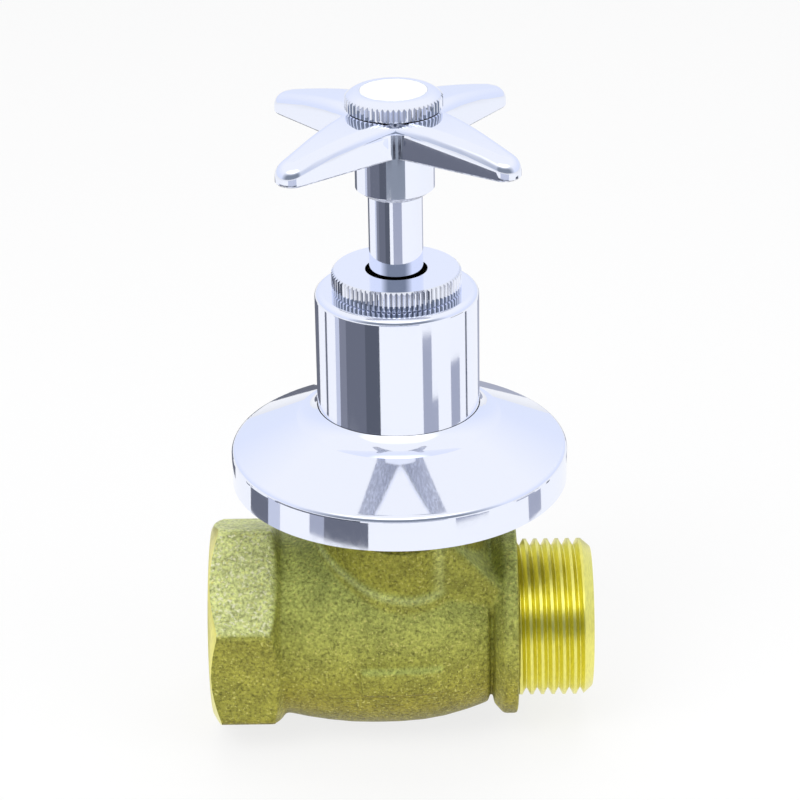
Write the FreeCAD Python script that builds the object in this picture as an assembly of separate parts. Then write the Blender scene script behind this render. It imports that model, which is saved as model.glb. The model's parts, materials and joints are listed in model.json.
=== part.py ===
"""Concealed stop valve with a cross handle, a sleeve and a wall flange.

Frame: millimetres, +Z up along the spindle, +X along the water flow.
The origin is where the inlet's thread begins, on the pipe's axis.
"""
import FreeCAD
import Part
import math
import os

Vector = FreeCAD.Vector

# Pipe line, along X
BODY_LENGTH = 64.0
SPINDLE_FROM_INLET = 32.0
INLET_HEX_FLATS = 33.0
INLET_HEX_LENGTH = 11.8
INLET_HEX_CORNER_R = 2.0
INLET_THREAD_R = 12.06
INLET_THREAD_LENGTH = 12.0
INLET_MOUTH_CHAMFER = 1.0
INLET_SHOULDER_WIDTH = 3.0
WATERWAY_R = 9.5
OUTLET_THREAD_R = 13.22
OUTLET_THREAD_LENGTH = 13.0
OUTLET_END_CHAMFER = 1.25
COLLAR_R = 16.3
COLLAR_WIDTH = 2.5
COLLAR_GROOVE_R = 13.6
COLLAR_GROOVE_WIDTH = 0.8
COLLAR_FLARE = 1.0

# Globe and neck of the casting
GLOBE_WAIST_R = 15.7
GLOBE_LEFT_R = 17.0
GLOBE_BELLY_R = 17.5
GLOBE_RIGHT_R = 16.4
GLOBE_END_R = 14.1
GLOBE_WALL = 3.2
SHOULDER_R = 11.4
SHOULDER_RISE = 4.2
NECK_R = 13.5
NECK_TOP_Z = 21.0
NECK_BORE_R = 10.0
BONNET_THREAD_R = 10.5
BONNET_THREAD_DEPTH = 8.0
SIZE_PAD_LENGTH = 13.5
SIZE_PAD_HEIGHT = 4.6
SIZE_PAD_PROUD = 0.45

# Seat and the wall across the waterway
DECK_THICKNESS = 3.0
DECK_TOP_Z = 1.0
DECK_WALL = 2.8
SEAT_BORE_R = 7.2
SEAT_RIM_R = 9.0
SEAT_RIM_HEIGHT = 1.0

# Jumper, its washer and its nut
SEAT_GAP = 0.05
SEAT_WASHER_R = 8.6
SEAT_WASHER_THICKNESS = 3.0
JUMPER_PLATE_R = 8.0
JUMPER_PLATE_THICKNESS = 1.5
JUMPER_STUD_R = 1.5
JUMPER_STEM_R = 2.0
JUMPER_STEM_LENGTH = 5.5
RETAINING_WASHER_R = 3.2
RETAINING_WASHER_THICKNESS = 0.5
JUMPER_NUT_FLATS = 5.5
JUMPER_NUT_HEIGHT = 1.6

# Bonnet, packing and gland
GASKET_THICKNESS = 1.0
GASKET_R = 13.0
BONNET_HEX_FLATS = 25.0
BONNET_HEX_HEIGHT = 5.0
BONNET_TUBE_R = 8.0
BONNET_TUBE_LENGTH = 19.0
SPINDLE_NUT_LENGTH = 18.0
PACKING_CHAMBER_R = 6.4
PACKING_CHAMBER_DEPTH = 7.0
PACKING_RING_HEIGHT = 1.9
PACKING_RINGS = 2
GLAND_HEX_FLATS = 13.0
GLAND_HEX_HEIGHT = 3.0
GLAND_LIFT = 0.3

# Extension nipple, sleeve and lock ring
NIPPLE_HEX_FLATS = 20.0
NIPPLE_ENGAGEMENT = 6.0
NIPPLE_HEADROOM = 1.2
NIPPLE_TUBE_R = 7.6
NIPPLE_TUBE_LENGTH = 7.0
NIPPLE_BORE_R = 5.6
NIPPLE_COLLAR_R = 10.4
NIPPLE_COLLAR_HEIGHT = 1.6
NIPPLE_THREAD_R = 8.0
SLEEVE_R = 13.3
SLEEVE_WALL = 1.2
SLEEVE_LENGTH = 28.7
SLEEVE_LIP = 1.6
SLEEVE_EDGE_R = 1.1
LOCK_RING_R = 10.5
LOCK_RING_HEIGHT = 3.4
LOCK_RING_TOP_WALL = 1.0
LOCK_RING_HOLE_R = 5.05
LOCK_RING_BEVEL = 0.4
LOCK_RING_TEETH = 76

# Wall flange
FLANGE_R = 27.7
FLANGE_RIM_HEIGHT = 5.6
FLANGE_RIM_EDGE_R = 0.8
FLANGE_CONE_HEIGHT = 7.6
FLANGE_FLARE_R = 16.8
FLANGE_FLARE_DROP = 2.3
FLANGE_WALL = 1.2
FLANGE_HUB_WALL = 2.0
FLANGE_HUB_LENGTH = 5.0
SLEEVE_SHOWN = 20.2
GRIP_RING_HEIGHT = 1.8
GRIP_RING_DEPTH = 1.2

# Spindle and its extension
SPINDLE_THREAD_R = 5.5
SPINDLE_THREAD_LENGTH = 12.0
SPINDLE_FOOT_R = 4.5
SPINDLE_FOOT_LENGTH = 5.3
SPINDLE_SHAFT_R = 4.0
SPINDLE_STUD_R = 2.6
SPINDLE_STUD_LENGTH = 8.0
EXTENSION_R = 4.37
EXTENSION_SHOWN = 13.1
EXTENSION_PLAIN_IN_HUB = 1.8
EXTENSION_SQUARE = 6.0
EXTENSION_SQUARE_LENGTH = 8.4

# Handle and index cap
HANDLE_HUB_R = 6.35
HANDLE_HUB_LENGTH = 9.0
HANDLE_HUB_CHAMFER = 1.5
HANDLE_ARMS = 4
HANDLE_ARM_TURN = -42.7
HANDLE_ARM_REACH = 25.6
HANDLE_TIP_R = 2.6
HANDLE_ROOT_HALF_WIDTH = 6.1
HANDLE_CROTCH_R = 1.2
HANDLE_CROWN_R = 8.3
HANDLE_CROWN_HEIGHT = 14.1
HANDLE_TIP_TOP_DROP = 1.9
HANDLE_TIP_BASE_DROP = 1.6
HANDLE_EDGE_R = 1.7
HANDLE_UNDER_EDGE_R = 0.5
HANDLE_WELL_R = 5.5
HANDLE_WELL_DEPTH = 3.0
HANDLE_SCREW_R = 1.95
HANDLE_SCREW_HEAD_R = 3.7
HANDLE_SCREW_HEAD_HEIGHT = 1.7
HANDLE_SCREW_LENGTH = 8.0
HANDLE_SCREW_SLOT = 0.9
HANDLE_WASHER_R = 4.9
HANDLE_WASHER_THICKNESS = 0.5
CAP_R = 7.77
CAP_KNURL_HEIGHT = 1.85
CAP_DOME_HEIGHT = 1.05
CAP_TEETH = 56
CAP_SPIGOT_LENGTH = 1.9
CAP_SPIGOT_WALL = 0.9
CAP_SEAT_GAP = 0.08
DISC_R = 5.33
DISC_THICKNESS = 0.9
DISC_DOME = 0.18
KNURL_DEPTH = 0.34

# Clearances
RUNNING = 0.05
THREAD_GAP = 0.04
SEATED = 0.03
OVERCUT = 1.0


# Places along the pipe's axis
INLET_FACE_X = -INLET_MOUTH_CHAMFER
HEX_RIGHT_X = INLET_FACE_X + INLET_HEX_LENGTH
SPINDLE_X = INLET_FACE_X + SPINDLE_FROM_INLET
OUTLET_FACE_X = INLET_FACE_X + BODY_LENGTH
COLLAR_RIGHT_X = OUTLET_FACE_X - OUTLET_THREAD_LENGTH
COLLAR_LEFT_X = COLLAR_RIGHT_X - COLLAR_WIDTH
GLOBE_RIGHT_X = COLLAR_LEFT_X - COLLAR_FLARE - COLLAR_GROOVE_WIDTH
GLOBE_LEFT_X = HEX_RIGHT_X + 1.2
CHAMBER_LEFT_X = INLET_THREAD_LENGTH + INLET_SHOULDER_WIDTH


def spindle_point(z):
    """A point on the spindle's axis."""
    return Vector(SPINDLE_X, 0, z)


def disc(radius, z0, z1):
    """A solid cylinder on the spindle's axis, from z0 up to z1."""
    return Part.makeCylinder(radius, z1 - z0, spindle_point(z0))


def tube(outer, inner, z0, z1):
    """A plain ring on the spindle's axis."""
    return disc(outer, z0, z1).cut(disc(inner, z0 - OVERCUT, z1 + OVERCUT))


def pipe_rod(radius, x0, x1):
    """A solid cylinder on the pipe's axis, from x0 to x1."""
    return Part.makeCylinder(radius, x1 - x0, Vector(x0, 0, 0), Vector(1, 0, 0))


def outline_face(points):
    """A flat face with straight sides through the points."""
    return Part.Face(Part.makePolygon(points + [points[0]]))


def turned(profile):
    """A solid turned about the spindle's axis from (radius, z) corners."""
    face = outline_face([Vector(SPINDLE_X + r, 0, z) for r, z in profile])
    return face.revolve(spindle_point(0), Vector(0, 0, 1), 360)


def bored(profile):
    """A solid turned about the pipe's axis from (x, radius) corners."""
    face = outline_face([Vector(x, 0, r) for x, r in profile])
    return face.revolve(Vector(0, 0, 0), Vector(1, 0, 0), 360)


def hexagon(flats, start=0.0):
    """The six corners of a hexagon in its own plane, as (u, v) pairs."""
    corner_r = flats / math.sqrt(3)
    turns = [math.radians(start + 60 * i) for i in range(6)]
    return [(corner_r * math.cos(a), corner_r * math.sin(a)) for a in turns]


def hex_prism(flats, z0, z1):
    """A hexagon prism on the spindle's axis, with its upper corners turned off."""
    corners = [Vector(SPINDLE_X + u, v, z0) for u, v in hexagon(flats)]
    prism = outline_face(corners).extrude(Vector(0, 0, z1 - z0))
    corner_r = flats / math.sqrt(3)
    turn_off = (corner_r - flats / 2) * 0.6
    return prism.common(turned([
        (0, z0),
        (corner_r, z0),
        (corner_r, z1 - turn_off),
        (flats / 2 * 0.98, z1),
        (0, z1),
    ]))


def knurled_disc(radius, teeth, z0, z1):
    """A disc on the spindle's axis whose rim is cut into straight V teeth."""
    points = []
    for i in range(teeth):
        for share, r in ((0.0, radius - KNURL_DEPTH), (0.38, radius), (0.62, radius)):
            angle = 2 * math.pi * (i + share) / teeth
            points.append(Vector(SPINDLE_X + r * math.cos(angle), r * math.sin(angle), z0))
    return outline_face(points).extrude(Vector(0, 0, z1 - z0))


# Heights along the spindle, from the seat up to the handle
SEAT_Z = DECK_TOP_Z + SEAT_RIM_HEIGHT
WASHER_BASE_Z = SEAT_Z + SEAT_GAP
PLATE_BASE_Z = WASHER_BASE_Z + SEAT_WASHER_THICKNESS
PLATE_TOP_Z = PLATE_BASE_Z + JUMPER_PLATE_THICKNESS
SPINDLE_BASE_Z = PLATE_TOP_Z + SEATED
SPINDLE_THREAD_Z = SPINDLE_BASE_Z + SPINDLE_FOOT_LENGTH
BONNET_HEX_Z = NECK_TOP_Z + GASKET_THICKNESS
BONNET_TUBE_Z = BONNET_HEX_Z + BONNET_HEX_HEIGHT
BONNET_TOP_Z = BONNET_TUBE_Z + BONNET_TUBE_LENGTH
BONNET_BASE_Z = NECK_TOP_Z - BONNET_THREAD_DEPTH
PACKING_Z = BONNET_TOP_Z - PACKING_CHAMBER_DEPTH
PACKING_TOP_Z = PACKING_Z + PACKING_RINGS * PACKING_RING_HEIGHT
GLAND_HEX_Z = BONNET_TOP_Z + GLAND_LIFT
GLAND_TOP_Z = GLAND_HEX_Z + GLAND_HEX_HEIGHT
EXTENSION_BASE_Z = GLAND_TOP_Z + 0.5
NIPPLE_BASE_Z = BONNET_TOP_Z - NIPPLE_ENGAGEMENT
NIPPLE_SHOULDER_Z = GLAND_TOP_Z + NIPPLE_HEADROOM
NIPPLE_HEX_TOP_Z = NIPPLE_SHOULDER_Z + 0.3
NIPPLE_COLLAR_Z = NIPPLE_HEX_TOP_Z + NIPPLE_TUBE_LENGTH
SLEEVE_LIP_Z = NIPPLE_COLLAR_Z + NIPPLE_COLLAR_HEIGHT
SLEEVE_TOP_Z = SLEEVE_LIP_Z + SLEEVE_LIP
SLEEVE_BASE_Z = SLEEVE_TOP_Z - SLEEVE_LENGTH
LOCK_RING_TOP_Z = SLEEVE_TOP_Z + LOCK_RING_HEIGHT
NIPPLE_TOP_Z = LOCK_RING_TOP_Z - LOCK_RING_TOP_WALL - SEATED
FLANGE_TOP_Z = SLEEVE_TOP_Z - SLEEVE_SHOWN
FLANGE_RIM_TOP_Z = FLANGE_TOP_Z - FLANGE_CONE_HEIGHT
FLANGE_BASE_Z = FLANGE_RIM_TOP_Z - FLANGE_RIM_HEIGHT
HUB_BASE_Z = LOCK_RING_TOP_Z + EXTENSION_SHOWN
SQUARE_BASE_Z = HUB_BASE_Z + EXTENSION_PLAIN_IN_HUB
SQUARE_TOP_Z = SQUARE_BASE_Z + EXTENSION_SQUARE_LENGTH
CROWN_Z = HUB_BASE_Z + HANDLE_CROWN_HEIGHT
WELL_FLOOR_Z = CROWN_Z - HANDLE_WELL_DEPTH
CAP_BASE_Z = CROWN_Z + CAP_SEAT_GAP
CAP_KNURL_TOP_Z = CAP_BASE_Z + CAP_KNURL_HEIGHT
CAP_TOP_Z = CAP_KNURL_TOP_Z + CAP_DOME_HEIGHT
DISC_BASE_Z = CAP_TOP_Z - DISC_THICKNESS + DISC_DOME


def globe_profile(inset):
    """The globe's side curve as (x, radius) points, moved inwards by inset."""
    span = GLOBE_RIGHT_X - GLOBE_LEFT_X
    shares = (0.0, 0.2, 0.43, 0.75, 1.0)
    radii = (GLOBE_WAIST_R, GLOBE_LEFT_R, GLOBE_BELLY_R, GLOBE_RIGHT_R, GLOBE_END_R)
    return [(GLOBE_LEFT_X + share * span, r - inset) for share, r in zip(shares, radii)]


def barrel(inset):
    """The globe as a solid turned about the pipe's axis."""
    points = [Vector(x, 0, r) for x, r in globe_profile(inset)]
    curve = Part.BSplineCurve()
    curve.interpolate(points)
    foot_right = Vector(points[-1].x, 0, 0)
    foot_left = Vector(points[0].x, 0, 0)
    wire = Part.Wire([
        curve.toShape(),
        Part.makeLine(points[-1], foot_right),
        Part.makeLine(foot_right, foot_left),
        Part.makeLine(foot_left, points[0]),
    ])
    return Part.Face(wire).revolve(Vector(0, 0, 0), Vector(1, 0, 0), 360)


def inlet_hexagon():
    """The spanner hexagon at the inlet: rounded corners and turned ends."""
    corners = [Vector(INLET_FACE_X, u, v) for u, v in hexagon(INLET_HEX_FLATS, 30)]
    prism = outline_face(corners).extrude(Vector(INLET_HEX_LENGTH, 0, 0))
    long_edges = [e for e in prism.Edges if e.BoundBox.XLength > INLET_HEX_LENGTH / 2]
    prism = prism.makeFillet(INLET_HEX_CORNER_R, long_edges)
    flat_r = INLET_HEX_FLATS / 2
    corner_r = flat_r + 2.6
    envelope = bored([
        (INLET_FACE_X, 0),
        (INLET_FACE_X, flat_r - 0.6),
        (INLET_FACE_X + 2.3, corner_r),
        (HEX_RIGHT_X - 1.6, corner_r),
        (HEX_RIGHT_X, flat_r - 0.5),
        (HEX_RIGHT_X, 0),
    ])
    waist = pipe_rod(GLOBE_WAIST_R, HEX_RIGHT_X - 0.5, GLOBE_LEFT_X + 0.5)
    return prism.common(envelope).fuse(waist)


def outlet_end():
    """The round collar and the male thread's blank at the outlet."""
    core = pipe_rod(COLLAR_GROOVE_R, GLOBE_RIGHT_X - 2, COLLAR_LEFT_X + OVERCUT)
    collar = bored([
        (COLLAR_LEFT_X - COLLAR_FLARE, 0),
        (COLLAR_LEFT_X - COLLAR_FLARE, COLLAR_GROOVE_R),
        (COLLAR_LEFT_X, COLLAR_R),
        (COLLAR_RIGHT_X - 0.2, COLLAR_R),
        (COLLAR_RIGHT_X, COLLAR_R - 0.3),
        (COLLAR_RIGHT_X, 0),
    ])
    spigot = bored([
        (COLLAR_RIGHT_X - OVERCUT, 0),
        (COLLAR_RIGHT_X - OVERCUT, OUTLET_THREAD_R),
        (OUTLET_FACE_X - OUTLET_END_CHAMFER, OUTLET_THREAD_R),
        (OUTLET_FACE_X, OUTLET_THREAD_R - OUTLET_END_CHAMFER),
        (OUTLET_FACE_X, 0),
    ])
    return core.fuse([collar, spigot])


def size_pad():
    """The low raised field on the globe's front, where a size would be cast."""
    outer = pipe_rod(GLOBE_BELLY_R + SIZE_PAD_PROUD, GLOBE_LEFT_X, GLOBE_RIGHT_X)
    window = Part.makeBox(
        SIZE_PAD_LENGTH,
        GLOBE_BELLY_R,
        SIZE_PAD_HEIGHT,
        Vector(SPINDLE_X - SIZE_PAD_LENGTH / 2, -GLOBE_BELLY_R - OVERCUT, -SIZE_PAD_HEIGHT),
    )
    inner = pipe_rod(GLOBE_RIGHT_R - OVERCUT, GLOBE_LEFT_X, GLOBE_RIGHT_X)
    return outer.common(window).cut(inner)


def partition():
    """The Z-shaped wall that carries the seat between inlet and outlet."""
    deck_base = DECK_TOP_Z - DECK_THICKNESS
    deep = GLOBE_BELLY_R - 2
    left = SPINDLE_X - NECK_BORE_R - 0.2
    right = SPINDLE_X + NECK_BORE_R - 0.4
    lean = 3.0
    section = [
        (left - lean - DECK_WALL, deep),
        (left - DECK_WALL, deck_base),
        (right, deck_base),
        (right + lean - 0.6, -deep),
        (right + lean + DECK_WALL - 0.6, -deep),
        (right + DECK_WALL, DECK_TOP_Z),
        (left, DECK_TOP_Z),
        (left - lean, deep),
    ]
    face = outline_face([Vector(x, -GLOBE_BELLY_R, z) for x, z in section])
    wall = face.extrude(Vector(0, 2 * GLOBE_BELLY_R, 0))
    return wall.common(barrel(GLOBE_WALL / 2))


def valve_body():
    """The brass casting: hexagon inlet, globe, neck, seat wall and outlet."""
    neck = disc(NECK_R, 0, NECK_TOP_Z)
    shoulder = Part.makeCylinder(
        SHOULDER_R,
        COLLAR_LEFT_X - SPINDLE_X,
        Vector(SPINDLE_X, 0, SHOULDER_RISE),
        Vector(1, 0, 0),
    )
    casting = barrel(0).fuse([neck, shoulder, inlet_hexagon(), outlet_end(), size_pad()])
    chamber = barrel(GLOBE_WALL).common(pipe_rod(GLOBE_BELLY_R, CHAMBER_LEFT_X, OUTLET_FACE_X))
    inlet_way = pipe_rod(WATERWAY_R, INLET_THREAD_LENGTH - OVERCUT, CHAMBER_LEFT_X + OVERCUT)
    outlet_way = pipe_rod(WATERWAY_R, GLOBE_RIGHT_X - 0.5, OUTLET_FACE_X + OVERCUT)
    neck_bore = disc(NECK_BORE_R, DECK_TOP_Z, NECK_TOP_Z + OVERCUT)
    hollow = chamber.fuse(inlet_way).cut(partition())
    hollow = hollow.fuse([outlet_way, neck_bore])
    inlet_socket = bored([
        (INLET_FACE_X - OVERCUT, 0),
        (INLET_FACE_X - OVERCUT, INLET_THREAD_R + INLET_MOUTH_CHAMFER),
        (INLET_FACE_X, INLET_THREAD_R + INLET_MOUTH_CHAMFER),
        (0, INLET_THREAD_R),
        (INLET_THREAD_LENGTH, INLET_THREAD_R),
        (INLET_THREAD_LENGTH + 0.4, WATERWAY_R),
        (INLET_THREAD_LENGTH + 0.4, 0),
    ])
    bonnet_socket = turned([
        (0, BONNET_BASE_Z - SEATED),
        (BONNET_THREAD_R, BONNET_BASE_Z - SEATED),
        (BONNET_THREAD_R, NECK_TOP_Z - 0.6),
        (BONNET_THREAD_R + 0.6, NECK_TOP_Z),
        (BONNET_THREAD_R + 0.6, NECK_TOP_Z + OVERCUT),
        (0, NECK_TOP_Z + OVERCUT),
    ])
    casting = casting.cut([hollow, inlet_socket, bonnet_socket])
    seat_rim = disc(SEAT_RIM_R, DECK_TOP_Z - 0.5, SEAT_Z)
    orifice = disc(SEAT_BORE_R, DECK_TOP_Z - DECK_THICKNESS - OVERCUT, SEAT_Z + OVERCUT)
    return casting.fuse(seat_rim).cut(orifice).removeSplitter()


def bonnet():
    """The headwork's bonnet, screwed into the neck."""
    thread_r = BONNET_THREAD_R - THREAD_GAP
    shank = turned([
        (0, BONNET_BASE_Z),
        (thread_r - 0.8, BONNET_BASE_Z),
        (thread_r, BONNET_BASE_Z + 0.8),
        (thread_r, BONNET_HEX_Z),
        (BONNET_TUBE_R, BONNET_HEX_Z),
        (BONNET_TUBE_R, BONNET_TOP_Z - 0.6),
        (BONNET_TUBE_R - 0.6, BONNET_TOP_Z),
        (0, BONNET_TOP_Z),
    ])
    body = shank.fuse(hex_prism(BONNET_HEX_FLATS, BONNET_HEX_Z, BONNET_TUBE_Z))
    nut_top = BONNET_BASE_Z + SPINDLE_NUT_LENGTH
    spindle_thread = disc(SPINDLE_THREAD_R + RUNNING, BONNET_BASE_Z - OVERCUT, nut_top)
    guide = disc(SPINDLE_SHAFT_R + RUNNING, BONNET_BASE_Z, BONNET_TOP_Z)
    chamber = disc(PACKING_CHAMBER_R, PACKING_Z, BONNET_TOP_Z + OVERCUT)
    return body.cut([spindle_thread, guide, chamber])


def bonnet_gasket():
    """The fibre washer between the neck and the bonnet's hexagon."""
    return tube(GASKET_R, BONNET_THREAD_R + RUNNING, NECK_TOP_Z, BONNET_HEX_Z)


def packing_ring(index):
    """One ring of soft packing round the spindle."""
    base = PACKING_Z + index * PACKING_RING_HEIGHT
    ring = tube(
        PACKING_CHAMBER_R - SEATED,
        SPINDLE_SHAFT_R + RUNNING,
        base,
        base + PACKING_RING_HEIGHT,
    )
    outer_edges = [e for e in ring.Edges if e.BoundBox.XLength > 2 * SPINDLE_SHAFT_R + 1]
    rims = [e for e in outer_edges if e.BoundBox.ZLength < RUNNING]
    return ring.makeFillet(0.3, rims)


def gland_nut():
    """The nut that presses the packing down."""
    thread_r = PACKING_CHAMBER_R - THREAD_GAP
    shank = disc(thread_r, PACKING_TOP_Z, GLAND_HEX_Z)
    head = hex_prism(GLAND_HEX_FLATS, GLAND_HEX_Z, GLAND_TOP_Z)
    hole = disc(SPINDLE_SHAFT_R + 2 * RUNNING, PACKING_TOP_Z - OVERCUT, GLAND_TOP_Z + OVERCUT)
    return shank.fuse(head).cut(hole)


def extension_nipple():
    """The brass tube that carries the sleeve and takes the lock ring."""
    hexagon_part = hex_prism(NIPPLE_HEX_FLATS, NIPPLE_BASE_Z, NIPPLE_HEX_TOP_Z)
    stem = turned([
        (0, NIPPLE_HEX_TOP_Z - OVERCUT),
        (NIPPLE_TUBE_R, NIPPLE_HEX_TOP_Z - OVERCUT),
        (NIPPLE_TUBE_R, NIPPLE_COLLAR_Z),
        (NIPPLE_COLLAR_R, NIPPLE_COLLAR_Z),
        (NIPPLE_COLLAR_R, SLEEVE_LIP_Z),
        (NIPPLE_THREAD_R, SLEEVE_LIP_Z),
        (NIPPLE_THREAD_R, NIPPLE_TOP_Z - 0.4),
        (NIPPLE_THREAD_R - 0.4, NIPPLE_TOP_Z),
        (0, NIPPLE_TOP_Z),
    ])
    socket = disc(BONNET_TUBE_R + THREAD_GAP, NIPPLE_BASE_Z - OVERCUT, NIPPLE_SHOULDER_Z)
    bore = disc(NIPPLE_BORE_R, NIPPLE_SHOULDER_Z - OVERCUT, NIPPLE_TOP_Z + OVERCUT)
    return hexagon_part.fuse(stem).cut([socket, bore])


def cover_sleeve():
    """The chromed sleeve: a tube with a rounded shoulder and a lip at the top."""
    outer = disc(SLEEVE_R, SLEEVE_BASE_Z, SLEEVE_TOP_Z)
    rim = [e for e in outer.Edges if e.BoundBox.ZMin > SLEEVE_TOP_Z - RUNNING]
    outer = outer.makeFillet(SLEEVE_EDGE_R, rim)
    inside = disc(SLEEVE_R - SLEEVE_WALL, SLEEVE_BASE_Z - OVERCUT, SLEEVE_LIP_Z)
    hole = disc(NIPPLE_THREAD_R + 3 * RUNNING, SLEEVE_LIP_Z - OVERCUT, SLEEVE_TOP_Z + OVERCUT)
    return outer.cut([inside, hole])


def lock_ring():
    """The knurled ring that holds the sleeve down."""
    blank = knurled_disc(LOCK_RING_R, LOCK_RING_TEETH, SLEEVE_TOP_Z, LOCK_RING_TOP_Z)
    base_bevel = LOCK_RING_BEVEL * 0.8
    envelope = turned([
        (0, SLEEVE_TOP_Z),
        (LOCK_RING_R - base_bevel, SLEEVE_TOP_Z),
        (LOCK_RING_R + RUNNING, SLEEVE_TOP_Z + base_bevel),
        (LOCK_RING_R + RUNNING, LOCK_RING_TOP_Z - LOCK_RING_BEVEL),
        (LOCK_RING_R - LOCK_RING_BEVEL, LOCK_RING_TOP_Z),
        (0, LOCK_RING_TOP_Z),
    ])
    thread = disc(
        NIPPLE_THREAD_R + THREAD_GAP,
        SLEEVE_TOP_Z - OVERCUT,
        LOCK_RING_TOP_Z - LOCK_RING_TOP_WALL,
    )
    hole = disc(LOCK_RING_HOLE_R, SLEEVE_TOP_Z, LOCK_RING_TOP_Z + OVERCUT)
    return blank.common(envelope).cut([thread, hole])


def flange_section(hub_r):
    """Half the flange's section as a wire: flared cone, rounded rim and wall."""

    def at(r, z):
        return Vector(SPINDLE_X + r, 0, z)

    flare_z = FLANGE_TOP_Z - FLANGE_FLARE_DROP
    edge = FLANGE_RIM_EDGE_R
    slope = (flare_z - FLANGE_RIM_TOP_Z) / (FLANGE_R - FLANGE_FLARE_R)
    edge_start = at(FLANGE_R - edge, FLANGE_RIM_TOP_Z + slope * edge)
    edge_end = at(FLANGE_R, FLANGE_RIM_TOP_Z - edge)
    edge_mid = at(FLANGE_R - 0.25 * edge, FLANGE_RIM_TOP_Z - 0.2 * edge + slope * 0.2)
    flare_mid = at(
        (hub_r + FLANGE_FLARE_R) / 2 - 0.35,
        (FLANGE_TOP_Z + flare_z) / 2 - 0.28,
    )
    inner_rim_z = FLANGE_RIM_TOP_Z - FLANGE_WALL
    hub_outer_r = hub_r + FLANGE_HUB_WALL
    hub_base_z = FLANGE_TOP_Z - FLANGE_HUB_LENGTH
    shell_at_hub_z = flare_z + (FLANGE_FLARE_R - hub_outer_r) * slope - FLANGE_WALL
    return Part.Wire([
        Part.Arc(at(hub_r, FLANGE_TOP_Z), flare_mid, at(FLANGE_FLARE_R, flare_z)).toShape(),
        Part.makeLine(at(FLANGE_FLARE_R, flare_z), edge_start),
        Part.Arc(edge_start, edge_mid, edge_end).toShape(),
        Part.makeLine(edge_end, at(FLANGE_R, FLANGE_BASE_Z)),
        Part.makeLine(at(FLANGE_R, FLANGE_BASE_Z), at(FLANGE_R - FLANGE_WALL, FLANGE_BASE_Z)),
        Part.makeLine(at(FLANGE_R - FLANGE_WALL, FLANGE_BASE_Z), at(FLANGE_R - FLANGE_WALL, inner_rim_z)),
        Part.makeLine(at(FLANGE_R - FLANGE_WALL, inner_rim_z), at(hub_outer_r, shell_at_hub_z)),
        Part.makeLine(at(hub_outer_r, shell_at_hub_z), at(hub_outer_r, hub_base_z)),
        Part.makeLine(at(hub_outer_r, hub_base_z), at(hub_r, hub_base_z)),
        Part.makeLine(at(hub_r, hub_base_z), at(hub_r, FLANGE_TOP_Z)),
    ])


def grip_groove_z():
    """The base of the groove that holds the grip ring in the flange's hub."""
    return FLANGE_TOP_Z - FLANGE_HUB_LENGTH + 1.2


def wall_flange():
    """The chromed wall flange, a cone shell with a rim and a short inner hub."""
    shell = Part.Face(flange_section(SLEEVE_R + 2 * RUNNING))
    shell = shell.revolve(spindle_point(0), Vector(0, 0, 1), 360)
    groove_base = grip_groove_z()
    groove = disc(
        SLEEVE_R + GRIP_RING_DEPTH + RUNNING,
        groove_base,
        groove_base + GRIP_RING_HEIGHT + 2 * SEATED,
    )
    return shell.cut(groove)


def flange_grip_ring():
    """The rubber ring in the hub that holds the flange where it is pushed."""
    base = grip_groove_z() + SEATED
    ring = tube(SLEEVE_R + GRIP_RING_DEPTH, SLEEVE_R + RUNNING, base, base + GRIP_RING_HEIGHT)
    return ring.makeFillet(0.35, [e for e in ring.Edges if e.BoundBox.ZLength < RUNNING])


def jumper():
    """The plate that carries the washer, with its stem and its threaded stud."""
    stud_base = WASHER_BASE_Z - RETAINING_WASHER_THICKNESS - JUMPER_NUT_HEIGHT - 0.4
    return turned([
        (0, stud_base),
        (JUMPER_STUD_R - 0.3, stud_base),
        (JUMPER_STUD_R, stud_base + 0.3),
        (JUMPER_STUD_R, PLATE_BASE_Z),
        (JUMPER_PLATE_R, PLATE_BASE_Z),
        (JUMPER_PLATE_R, PLATE_TOP_Z - 0.4),
        (JUMPER_PLATE_R - 0.4, PLATE_TOP_Z),
        (JUMPER_STEM_R, PLATE_TOP_Z),
        (JUMPER_STEM_R, PLATE_TOP_Z + JUMPER_STEM_LENGTH - 0.4),
        (JUMPER_STEM_R - 0.4, PLATE_TOP_Z + JUMPER_STEM_LENGTH),
        (0, PLATE_TOP_Z + JUMPER_STEM_LENGTH),
    ])


def seat_washer():
    """The rubber washer that closes on the seat."""
    washer = tube(SEAT_WASHER_R, JUMPER_STUD_R + SEATED, WASHER_BASE_Z, PLATE_BASE_Z)
    rims = [e for e in washer.Edges if e.BoundBox.XLength > 2 * JUMPER_PLATE_R]
    return washer.makeChamfer(0.3, [e for e in rims if e.BoundBox.ZLength < RUNNING])


def retaining_washer():
    """The small brass washer under the jumper's nut."""
    base = WASHER_BASE_Z - RETAINING_WASHER_THICKNESS
    return tube(RETAINING_WASHER_R, JUMPER_STUD_R + SEATED, base, WASHER_BASE_Z)


def jumper_nut():
    """The nut that holds the washer on the jumper."""
    top = WASHER_BASE_Z - RETAINING_WASHER_THICKNESS
    nut = hex_prism(JUMPER_NUT_FLATS, top - JUMPER_NUT_HEIGHT, top)
    return nut.cut(disc(JUMPER_STUD_R + SEATED, top - JUMPER_NUT_HEIGHT - OVERCUT, top + OVERCUT))


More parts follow.
